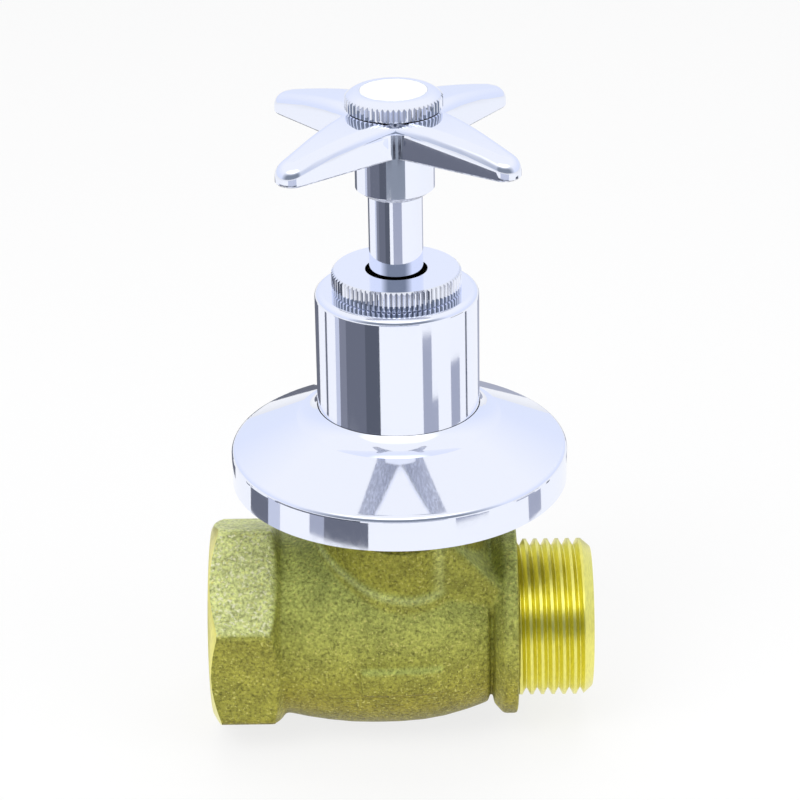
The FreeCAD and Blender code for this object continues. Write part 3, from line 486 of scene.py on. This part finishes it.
def with_modifiers(part):
    """The bmesh of a working object with its modifiers applied."""
    bpy.context.view_layer.update()
    graph = bpy.context.evaluated_depsgraph_get()
    result = bmesh.new()
    result.from_mesh(part.evaluated_get(graph).to_mesh())
    return result


def combined(first, second, operation):
    """Joins, cuts or intersects two closed bmeshes."""
    base = mesh_object("base", clean(first))
    tool = mesh_object("tool", clean(second))
    step = base.modifiers.new(operation, "BOOLEAN")
    step.operation = operation
    step.solver = "EXACT"
    step.object = tool
    result = with_modifiers(base)
    drop_part(base)
    drop_part(tool)
    if not result.faces:
        raise RuntimeError(f"{operation} left nothing")
    return result


def softened(bm, voxel, rounds):
    """One even skin over a closed bmesh, with every edge and corner rounded as cast."""
    part = mesh_object("blank", clean(bm))
    skin = part.modifiers.new("skin", "REMESH")
    skin.mode = "VOXEL"
    skin.voxel_size = voxel
    result = with_modifiers(part)
    drop_part(part)
    for _ in range(rounds):
        bmesh.ops.smooth_vert(
            result, verts=result.verts, factor=0.5, use_axis_x=True, use_axis_y=True, use_axis_z=True
        )
    return result


def prism(points, depth):
    """A closed prism from a flat outline of points, pushed along depth."""
    bm = bmesh.new()
    face = bm.faces.new([bm.verts.new(p) for p in points])
    pushed = bmesh.ops.extrude_face_region(bm, geom=[face])
    moved = [v for v in pushed["geom"] if isinstance(v, bmesh.types.BMVert)]
    bmesh.ops.translate(bm, verts=moved, vec=depth)
    bm.faces.ensure_lookup_table()
    if not face.is_valid:
        bmesh.ops.holes_fill(bm, edges=[e for e in bm.edges if e.is_boundary])
    return bm


def groove_cutter(start, pitch, turns, root_r, mouth_r, steps):
    """A helical V with a rounded root, about the pipe's axis; mouth_r may be inside root_r."""
    depth = abs(mouth_r - root_r)
    side = 1 if mouth_r > root_r else -1
    mouth_half = 0.10 * MM + depth * math.tan(math.radians(27.5))
    section = [
        (-mouth_half, mouth_r),
        (-0.16 * MM, root_r + side * 0.14 * MM),
        (-0.06 * MM, root_r),
        (0.06 * MM, root_r),
        (0.16 * MM, root_r + side * 0.14 * MM),
        (mouth_half, mouth_r),
    ]
    bm = bmesh.new()
    verts = [bm.verts.new((start + x, 0, r)) for x, r in section]
    face = bm.faces.new(verts)
    count = round(steps * turns)
    bmesh.ops.spin(
        bm,
        geom=[face, *face.edges, *verts],
        cent=ORIGIN,
        axis=PIPE,
        dvec=(pitch / steps, 0, 0),
        angle=math.tau * turns,
        steps=count,
    )
    return bm


# Settings


class StopValveColours(bpy.types.PropertyGroup):
    """Colours of the finishes."""

    # The cast skin's cool and warm tones are painted reflection, chosen by which way the surface faces.
    cast_up_painted_tone: FloatVectorProperty(
        name="Cast skin above",
        description="Cooler tone of the sand-cast brass where it faces up",
        subtype="COLOR",
        default=(0.53, 0.585, 0.155),
    )
    cast_down_painted_tone: FloatVectorProperty(
        name="Cast skin below",
        description="Warmer tone of the sand-cast brass where it faces down",
        subtype="COLOR",
        default=(0.40, 0.35, 0.032),
    )
    # The pale tone on the hexagon's upper flats is painted light.
    cast_hex_painted_light: FloatVectorProperty(
        name="Cast skin rubbed",
        description="Pale tone of the hexagon's upper flats, rubbed by tumbling",
        subtype="COLOR",
        default=(0.80, 0.86, 0.34),
    )
    turned: FloatVectorProperty(
        name="Turned brass",
        description="Colour of the machined thread",
        subtype="COLOR",
        default=(0.90, 0.85, 0.22),
    )
    chrome: FloatVectorProperty(
        name="Chrome",
        description="Tint of the bright plating",
        subtype="COLOR",
        default=(0.85, 0.885, 1.0),
    )
    index: FloatVectorProperty(
        name="Index disc",
        description="Colour of the plain disc in the cap",
        subtype="COLOR",
        default=(0.93, 0.96, 0.99),
    )


class StopValveSizes(bpy.types.PropertyGroup):
    """Sizes and counts that shape the pieces."""

    lathe_steps: IntProperty(
        name="Lathe steps",
        description="How many facets a turned piece has around",
        default=160,
        min=32,
        max=512,
    )
    cast_voxel: FloatProperty(
        name="Casting detail",
        description="Cell size of the casting's skin",
        unit="LENGTH",
        default=0.33 * MM,
    )
    thread_radius: FloatProperty(
        name="Thread radius",
        description="Major radius of the outlet's thread",
        unit="LENGTH",
        default=13.22 * MM,
    )
    thread_pitch: FloatProperty(
        name="Thread pitch",
        description="Distance from one crest to the next",
        unit="LENGTH",
        default=1.814 * MM,
    )
    thread_depth: FloatProperty(
        name="Thread depth",
        description="Crest to root",
        unit="LENGTH",
        default=1.1 * MM,
    )
    thread_runout: FloatProperty(
        name="Thread runout",
        description="Where the first groove starts, measured from the collar's face",
        unit="LENGTH",
        default=-1.06 * MM,
    )
    outlet_bore: FloatProperty(
        name="Outlet bore",
        description="Radius of the waterway",
        unit="LENGTH",
        default=9.5 * MM,
    )
    camera_lens: FloatProperty(
        name="Camera lens",
        description="Focal length of the camera, in millimetres on a 36 mm sensor",
        default=132.85,
        min=20,
        max=300,
    )


# Pieces


class STOPVALVE_OT_finishes(bpy.types.Operator):
    """Gives each CAD piece its finish."""

    bl_idname = "stopvalve.finishes"
    bl_label = "Finishes"

    def execute(self, context):
        colours = context.scene.stop_valve_colours
        turned = tuple(colours.turned)
        MADE.update({
            "cast_brass": cast_brass(colours),
            "turned_thread": turned_brass("turned_thread", turned, 0.3, (8, 1, 1)),
            "machined_brass": turned_brass("machined_brass", turned, 0.28, (1, 1, 8)),
            "chrome": chrome_plate("chrome", tuple(colours.chrome), 0.05, 0.02),
            # Painted shade and a rougher finish where the plating faces down.
            "chrome_under": chrome_plate("chrome_under", tuple(colours.chrome), 0.05, 0.02, dull_and_shaded_below=-0.25),
            # The knurled rings carry painted shade in their roots; the cap's is lighter.
            "lock_knurl": chrome_plate(
                "lock_knurl", tuple(colours.chrome), 0.07, 0.02, knurl=(10.0 * MM, 10.45 * MM)
            ),
            "cap_knurl": chrome_plate(
                "cap_knurl", tuple(colours.chrome), 0.07, 0.02, knurl=(7.3 * MM, 7.72 * MM), root=0.62
            ),
            "white_plastic": plain_finish("white_plastic", tuple(colours.index), 0.22),
            "black_rubber": plain_finish("black_rubber", (0.03, 0.03, 0.03), 0.65),
            "fibre": plain_finish("fibre", (0.42, 0.12, 0.08), 0.8, depth=0.08),
            "packing": plain_finish("packing", (0.85, 0.85, 0.82), 0.5),
            "steel": plain_finish("steel", (0.62, 0.63, 0.65), 0.32, 1.0),
        })
        slots = {row["node"]: row["material_slot"] for row in frame["record"]["subparts"]}
        for name, node in frame["nodes"].items():
            node.data.materials.clear()
            node.data.materials.append(MADE[SPECIAL.get(name, slots[name])])
        return {"FINISHED"}


class STOPVALVE_OT_body(bpy.types.Operator):
    """Makes the cast body, the turned outlet thread and the inlet's thread."""

    bl_idname = "stopvalve.body"
    bl_label = "Body and threads"

    def execute(self, context):
        sizes = context.scene.stop_valve_sizes
        for make in (self.cast_body, self.outlet_thread, self.inlet_thread):
            make(sizes)
        return {"FINISHED"}

    def cast_body(self, sizes):
        """The casting: globe, neck, wedge, hexagon, collar and pad under one rough skin."""
        steps = sizes.lathe_steps
        globe = spun([
            (10.3 * MM, 0, 0), (10.3 * MM, 0, 15.7 * MM), (12.0 * MM, 0, 15.75 * MM),
            (15.0 * MM, 0, 16.4 * MM), (18.6 * MM, 0, 16.97 * MM), (22.5 * MM, 0, 17.38 * MM),
            (26.4 * MM, 0, 17.5 * MM), (30.5 * MM, 0, 17.45 * MM), (34.5 * MM, 0, 17.15 * MM),
            (38.0 * MM, 0, 16.55 * MM), (41.5 * MM, 0, 15.6 * MM), (44.0 * MM, 0, 14.75 * MM),
            (45.5 * MM, 0, 14.15 * MM), (45.6 * MM, 0, 12.9 * MM), (46.3 * MM, 0, 12.9 * MM),
            (46.4 * MM, 0, 14.5 * MM), (48.0 * MM, 0, 16.3 * MM), (50.2 * MM, 0, 16.3 * MM),
            (THREAD_START, 0, 15.9 * MM), (THREAD_START, 0, 0),
        ], PIPE, ORIGIN, steps)
        neck = spun([
            (SPINDLE.x, 0, 0), (SPINDLE.x + 13.95 * MM, 0, 0),
            (SPINDLE.x + 13.95 * MM, 0, 24.2 * MM), (SPINDLE.x + 13.1 * MM, 0, 24.2 * MM),
            (SPINDLE.x + 13.1 * MM, 0, 21 * MM), (SPINDLE.x, 0, 21 * MM),
        ], UP, SPINDLE, steps)
        end_x = 47.0 * MM
        top_z = 20.2 * MM
        wedge = prism([
            (SPINDLE.x, -14 * MM, 2 * MM), (SPINDLE.x, -14 * MM, top_z),
            (39.8 * MM, -14 * MM, top_z), (end_x, -14 * MM, 12.0 * MM), (end_x, -14 * MM, 2 * MM),
        ], (0, 28 * MM, 0))
        for vert in wedge.verts:
            share = (vert.co.x - SPINDLE.x) / (end_x - SPINDLE.x)
            vert.co.y *= 1 - 0.193 * share
        bead = combined(
            spun([
                (SPINDLE.x + 13.2 * MM, 0, 3 * MM), (SPINDLE.x + 14.9 * MM, 0, 3 * MM),
                (SPINDLE.x + 14.9 * MM, 0, 21 * MM), (SPINDLE.x + 13.2 * MM, 0, 21 * MM),
            ], UP, SPINDLE, steps),
            spun([
                (14 * MM, 0, 0), (14 * MM, 0, 17.1 * MM), (22 * MM, 0, 18.3 * MM),
                (30 * MM, 0, 18.5 * MM), (38 * MM, 0, 17.6 * MM), (45 * MM, 0, 15.3 * MM),
                (45 * MM, 0, 0),
            ], PIPE, ORIGIN, steps),
            "INTERSECT",
        )
        pad = combined(
            prism([
                (24.3 * MM, -14 * MM, -5.1 * MM), (37.7 * MM, -14 * MM, -5.1 * MM),
                (37.7 * MM, -14 * MM, -0.2 * MM), (24.3 * MM, -14 * MM, -0.2 * MM),
            ], (0, -6 * MM, 0)),
            spun([
                (20 * MM, 0, 0), (20 * MM, 0, 18.15 * MM), (26.4 * MM, 0, 18.4 * MM),
                (34.5 * MM, 0, 18.05 * MM), (40 * MM, 0, 16.95 * MM), (40 * MM, 0, 0),
            ], PIPE, ORIGIN, steps),
            "INTERSECT",
        )
        casting = combined(globe, neck, "UNION")
        for part in (wedge, bead, pad, self.hexagon()):
            casting = combined(casting, part, "UNION")
        casting = softened(casting, sizes.cast_voxel, 4)
        casting = combined(casting, self.turned_face(steps), "INTERSECT")
        casting = combined(casting, self.waterway(steps), "DIFFERENCE")
        body = finish_piece(
            casting, "cast_body", MADE["cast_brass"], "valve", ["valve_body"], 40
        )
        body.data.materials.append(MADE["turned_thread"])
        for polygon in body.data.polygons:
            bored = polygon.center.yz.length < 13.4 * MM and not 1 * MM < polygon.center.x < 50 * MM
            inside = polygon.center.yz.length < 13.35 * MM and polygon.center.x < 14 * MM
            faced = polygon.center.x < 1.6 * MM and polygon.normal.x < -0.3
            if bored or inside or faced:
                polygon.material_index = 1

    def hexagon(self):
        """The spanner hexagon with rounded corners."""
        bm = bmesh.new()
        ring = bmesh.ops.create_circle(bm, segments=6, radius=19.05 * MM, cap_ends=True)
        turn = Matrix.Rotation(math.radians(90), 3, "Y") @ Matrix.Rotation(math.radians(98.5), 3, "Z")
        bmesh.ops.rotate(bm, verts=ring["verts"], cent=ORIGIN, matrix=turn)
        bmesh.ops.translate(bm, verts=ring["verts"], vec=(HEX_START, 0, 0))
        outline = [v.co.copy() for v in bm.verts]
        bm.free()
        bm = prism(outline, (11.8 * MM, 0, 0))
        long_edges = [e for e in bm.edges if abs(e.verts[0].co.x - e.verts[1].co.x) > 5 * MM]
        bmesh.ops.bevel(
            bm, geom=long_edges, offset=1.2 * MM, offset_type="OFFSET", affect="EDGES",
            segments=5, profile=0.5, material=-1,
        )
        shaped = spun([
            (HEX_START - 0.01 * MM, 0, 0), (HEX_START - 0.01 * MM, 0, 19.3 * MM),
            (9.2 * MM, 0, 19.3 * MM), (10.8 * MM, 0, 16.2 * MM), (10.9 * MM, 0, 0),
        ], PIPE, ORIGIN, 96)
        return combined(bm, shaped, "INTERSECT")

    def turned_face(self, steps):
        """What the lathe leaves: a flat face and a wide chamfer at the inlet, and a trimmed neck."""
        start = HEX_START + 0.02 * MM
        trim_r = 24 * MM
        return spun([
            (start, 0, 0), (start, 0, 15.9 * MM), (start + 1.85 * MM, 0, 19.1 * MM),
            (12 * MM, 0, trim_r), (THREAD_START - 0.01 * MM, 0, trim_r),
            (THREAD_START - 0.01 * MM, 0, 0),
        ], PIPE, ORIGIN, steps)

    def waterway(self, steps):
        """The bored inlet up to the wall at the seat, and the outlet's bore."""
        bored = spun([
            (-3 * MM, 0, 0), (-3 * MM, 0, 13.3 * MM), (11.3 * MM, 0, 13.3 * MM),
            (12.4 * MM, 0, 9.5 * MM), (17 * MM, 0, 9.5 * MM), (18.5 * MM, 0, 0),
        ], PIPE, ORIGIN, steps)
        outlet = spun([
            (43 * MM, 0, 0), (44 * MM, 0, 9.5 * MM), (54 * MM, 0, 9.5 * MM), (54 * MM, 0, 0),
        ], PIPE, ORIGIN, steps)
        return combined(bored, outlet, "UNION")

    def inlet_thread(self, sizes):
        """The female thread, a liner in the bored inlet."""
        bore = 12.06 * MM
        start = HEX_START + 0.02 * MM
        blank = spun([
            (start, 0, 13.32 * MM), (start, 0, bore + 1.0 * MM), (start + 1.0 * MM, 0, bore),
            (10.6 * MM, 0, bore), (11.25 * MM, 0, bore + 0.6 * MM), (11.25 * MM, 0, 13.32 * MM),
        ], PIPE, ORIGIN, sizes.lathe_steps)
        cutter = groove_cutter(
            start - 0.5 * MM, sizes.thread_pitch, 6.0, 13.1 * MM, bore - 0.3 * MM, 64
        )
        bm = combined(blank, cutter, "DIFFERENCE")
        finish_piece(
            bm, "inlet_thread", MADE["turned_thread"], "valve", ["valve_body"], 25
        )

    def outlet_thread(self, sizes):
        """The turned male end with its helical thread."""
        outer = sizes.thread_radius
        bore = sizes.outlet_bore
        end = THREAD_END
        blank = spun([
            (THREAD_START, 0, bore),
            (THREAD_START, 0, outer - 0.25 * MM),
            (THREAD_START + 0.25 * MM, 0, outer),
            (end - 1.6 * MM, 0, outer),
            (end - 0.15 * MM, 0, outer - 1.25 * MM),
            (end, 0, outer - 1.45 * MM),
            (end, 0, bore + 0.35 * MM),
            (end - 0.35 * MM, 0, bore),
        ], PIPE, ORIGIN, sizes.lathe_steps)
        turns = (end - THREAD_START) / sizes.thread_pitch - 0.4
        cutter = groove_cutter(
            THREAD_START + sizes.thread_runout,
            sizes.thread_pitch,
            turns,
            outer - sizes.thread_depth,
            outer + 0.3 * MM,
            64,
        )
        bm = combined(blank, cutter, "DIFFERENCE")
        finish_piece(
            bm, "outlet_thread", MADE["turned_thread"], "valve", ["valve_body"], 25
        )


class STOPVALVE_OT_handle(bpy.types.Operator):
    """Makes the cross handle: a hub and four drooping, tapering arms."""

    bl_idname = "stopvalve.handle"
    bl_label = "Cross handle"

    def execute(self, context):
        low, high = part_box("handle")
        crown = high.z
        base = crown - 5.9 * MM
        hub_r = 6.35 * MM
        star = spun([
            (SPINDLE.x, 0, low.z), (SPINDLE.x + hub_r - 1.5 * MM, 0, low.z),
            (SPINDLE.x + hub_r, 0, low.z + 1.1 * MM), (SPINDLE.x + hub_r, 0, crown - 1 * MM),
            (SPINDLE.x, 0, crown - 1 * MM),
        ], UP, SPINDLE, 96)
        for index in range(4):
            star = combined(star, self.arm(math.radians(-42.7 + 90 * index), base, crown), "UNION")
            star = combined(star, self.inner_corner(math.radians(2.3 + 90 * index), base, crown), "UNION")
        piece = finish_piece(star, "cross_handle", MADE["chrome_under"], "spindle", ["handle"], 35)
        even = piece.modifiers.new("even", "WEIGHTED_NORMAL")
        even.keep_sharp = True
        return {"FINISHED"}

    def arm(self, heading, base, crown):
        """One drooping arm as the hull of its rounded sections."""
        root, tip, tip_r, edge_r = 6.1 * MM, 23.0 * MM, 2.6 * MM, 1.95 * MM
        droop_start, droop, foot = 8.3 * MM, 2.9 * MM, 0.35 * MM
        reach = tip + tip_r
        marks = []
        for along in (0, droop_start, 11 * MM, 14 * MM, 17 * MM, 20.5 * MM):
            half = root - (root - tip_r) * along / tip
            marks += [(along, half, 0, 1), (along, -half, 0, -1)]
        for step in range(-9, 10):
            angle = math.radians(10 * step)
            c, s = math.cos(angle), math.sin(angle)
            marks.append((tip + tip_r * c, tip_r * s, c, s))
        bm = bmesh.new()
        for along, across, c, s in marks:
            for turn in range(0, 91, 15):
                inset = edge_r * (1 - math.cos(math.radians(turn)))
                x = along - inset * c
                drop = droop * max((x - droop_start) / (reach - droop_start), 0) ** 1.5
                fall = edge_r * (1 - math.sin(math.radians(turn)))
                bm.verts.new((x, across - inset * s, crown - drop - fall))
            bm.verts.new((along, across, base + foot))
            bm.verts.new((along - foot * c, across - foot * s, base))
        bmesh.ops.convex_hull(bm, input=bm.verts)
        bmesh.ops.rotate(bm, verts=bm.verts, cent=ORIGIN, matrix=Matrix.Rotation(heading, 3, "Z"))
        bmesh.ops.translate(bm, verts=bm.verts, vec=SPINDLE)
        return bm

    def inner_corner(self, heading, base, crown):
        """The hollow fillet between two arms."""
        corner, size = 7.35 * MM, 2.4 * MM
        outline = [(corner - 1.2 * MM, 0, base + 0.3 * MM)]
        flank = math.radians(45 + 8.75)
        start = (corner + size * math.cos(flank), -size * math.sin(flank))
        for step in range(7):
            share = step / 6 * 2 - 1
            sag = (1 - share * share) * 0.26 * size
            outline.append((start[0] - sag, -start[1] * share, base + 0.3 * MM))
        bm = prism(outline, (0, 0, crown - 1.9 * MM - base))
        bmesh.ops.rotate(bm, verts=bm.verts, cent=ORIGIN, matrix=Matrix.Rotation(heading, 3, "Z"))
        bmesh.ops.translate(bm, verts=bm.verts, vec=SPINDLE)
        return bm


class STOPVALVE_OT_stage(bpy.types.Operator):
    """Sets the floor, the lamps, the world and the camera."""

    bl_idname = "stopvalve.stage"
    bl_label = "Stage"

    def execute(self, context):
        scene = context.scene
        low = CAD_BOX[0]
        bm = bmesh.new()
        bmesh.ops.create_grid(bm, x_segments=1, y_segments=1, size=3.0)
        bmesh.ops.translate(bm, verts=bm.verts, vec=(SPINDLE.x, 0, low[2] - 0.02 * MM))
        floor = mesh_object("floor", bm)
        paint, shader = new_material("floor_paint")
        shader.inputs["Base Color"].default_value = (0.95, 0.95, 0.95, 1)
        shader.inputs["Roughness"].default_value = 0.9
        shader.inputs["Specular IOR Level"].default_value = 0.1
        white_for_eye_and_metal(paint, 0.8)
        floor.data.materials.append(paint)
        self.dark_cards()
        self.light_world(scene)
        for name, place, size, power in (
            ("key", (-0.35, -0.45, 0.62), 0.45, 3.0),
            ("fill", (0.55, -0.35, 0.42), 0.5, 1.6),
            ("top", (0.03, 0.15, 0.85), 0.6, 2.4),
        ):
            self.add_lamp(scene, name, place, size, power)
        self.add_camera(scene)
        return {"FINISHED"}

    def dark_cards(self):
        """Dark cards on the floor, seen only by polished metal, as a studio's flags are."""
        low = CAD_BOX[0][2]
        for index, (near, far, start, end, tone) in enumerate(FLOOR_CARDS):
            bm = bmesh.new()
            lift = low + (0.5 + 0.02 * index) * MM
            inner = bm.verts.new((SPINDLE.x, -near * MM, lift))
            outer = bm.verts.new((SPINDLE.x, -far * MM, lift))
            edge = bm.edges.new((inner, outer))
            geom = [inner, outer, edge]
            bmesh.ops.rotate(
                bm,
                verts=[inner, outer],
                cent=SPINDLE,
                matrix=Matrix.Rotation(math.radians(start), 3, "Z"),
            )
            bmesh.ops.spin(
                bm,
                geom=geom,
                cent=SPINDLE,
                axis=UP,
                angle=math.radians(end - start),
                steps=24,
            )
            name = f"dark_card_{index + 1}"
            card = mesh_object(name, bm)
            paint, shader = new_material(name)
            shader.inputs["Base Color"].default_value = BLACK
            shader.inputs["Specular IOR Level"].default_value = 0
            shader.inputs["Emission Color"].default_value = (*tone, 1)
            shader.inputs["Emission Strength"].default_value = 1
            card.data.materials.append(paint)
            card.visible_camera = False
            card.visible_diffuse = False
            card.visible_shadow = False
            card.visible_transmission = False

    def light_world(self, scene):
        """White for the eye; metal also sees a dark band in front and a soft light above it."""
        world = bpy.data.worlds.new("surround")
        world.use_nodes = True
        background = world.node_tree.nodes["Background"]
        coords = add_node(world, "ShaderNodeTexCoord")
        axes = add_node(world, "ShaderNodeSeparateXYZ")
        link(world, coords.outputs["Generated"], axes.inputs[0])
        height = map_range(world, axes.outputs["Z"], -1, 1, 0, 1)
        front = map_range(world, axes.outputs["Y"], -0.3, -0.75, 0, 1)
        ahead = ramp(world, height, [
            (0.45, (0.30, 0.33, 0.38)),
            (0.50, (0.28, 0.31, 0.36)),
            (0.56, (0.24, 0.27, 0.32)),
            (0.70, (0.24, 0.27, 0.32)),
            (0.76, (0.40, 0.43, 0.48)),
            (0.81, (1.0, 1.0, 1.0)),
            (0.86, (2.4, 2.4, 2.3)),
            (0.92, (2.4, 2.4, 2.3)),
            (0.97, (1.0, 1.0, 1.0)),
        ])
        around = ramp(world, height, [
            (0.45, (0.80, 0.85, 0.98)),
            (0.62, (0.84, 0.88, 1.0)),
            (0.85, (1.0, 1.0, 1.0)),
        ])
        mirrored = mix_colours(world, front, around.outputs["Color"], ahead.outputs["Color"])
        path = add_node(world, "ShaderNodeLightPath")
        seen = mix_colours(world, path.outputs["Is Camera Ray"], mirrored, WHITE)
        strength = map_range(world, path.outputs["Is Diffuse Ray"], 0, 1, 1.0, 0.4)
        link(world, seen, background.inputs["Color"])
        link(world, strength, background.inputs["Strength"])
        scene.world = world

    def add_lamp(self, scene, name, place, size, power):
        """A square soft lamp that faces the valve."""
        lamp = bpy.data.lights.new(name, "AREA")
        lamp.size = size
        lamp.energy = power
        holder = bpy.data.objects.new(name, lamp)
        target = SPINDLE + Vector((0, 0, 0.035))
        holder.location = Vector(place) + SPINDLE
        holder.visible_glossy = False
        holder.rotation_euler = (target - holder.location).to_track_quat("-Z", "Y").to_euler()
        scene.collection.objects.link(holder)

    def add_camera(self, scene):
        """The camera at the photograph's place and angle."""
        right = Vector((0.999886, -0.000953, -0.015068))
        up = Vector((0.014043, 0.425169, 0.905005))
        back = right.cross(up)
        turn = Matrix((right, up, back)).transposed()
        camera = bpy.data.cameras.new("camera")
        camera.lens = scene.stop_valve_sizes.camera_lens
        camera.sensor_width = 36
        camera.clip_start = 0.01
        holder = bpy.data.objects.new("camera", camera)
        place = SPINDLE + Vector((2.928, -438.642, 246.985)) * MM
        holder.matrix_world = Matrix.Translation(place) @ turn.to_4x4()
        scene.collection.objects.link(holder)
        scene.camera = holder
        scene.view_settings.view_transform = "Standard"


class STOPVALVE_PT_panel(bpy.types.Panel):
    """Lists the valve's pieces in the sidebar."""

    bl_label = "Stop valve"
    bl_idname = "STOPVALVE_PT_panel"
    bl_space_type = "VIEW_3D"
    bl_region_type = "UI"
    bl_category = "Stop valve"

    def draw(self, context):
        for operator in PIECE_OPERATORS:
            self.layout.operator(operator.bl_idname)


PIECE_OPERATORS = (
    STOPVALVE_OT_finishes,
    STOPVALVE_OT_body,
    STOPVALVE_OT_handle,
    STOPVALVE_OT_stage,
)
CLASSES = (StopValveColours, StopValveSizes, *PIECE_OPERATORS, STOPVALVE_PT_panel)


def register():
    """Registers the classes and hangs the settings on the scene."""
    for cls in CLASSES:
        bpy.utils.register_class(cls)
    bpy.types.Scene.stop_valve_colours = PointerProperty(type=StopValveColours)
    bpy.types.Scene.stop_valve_sizes = PointerProperty(type=StopValveSizes)


def unregister():
    """Removes the settings and the classes."""
    del bpy.types.Scene.stop_valve_sizes
    del bpy.types.Scene.stop_valve_colours
    for cls in reversed(CLASSES):
        bpy.utils.unregister_class(cls)


def main():
    """Builds the pieces in order."""
    register()
    bpy.ops.stopvalve.finishes()
    bpy.ops.stopvalve.body()
    bpy.ops.stopvalve.handle()
    bpy.ops.stopvalve.stage()


if __name__ == "__main__":
    main()
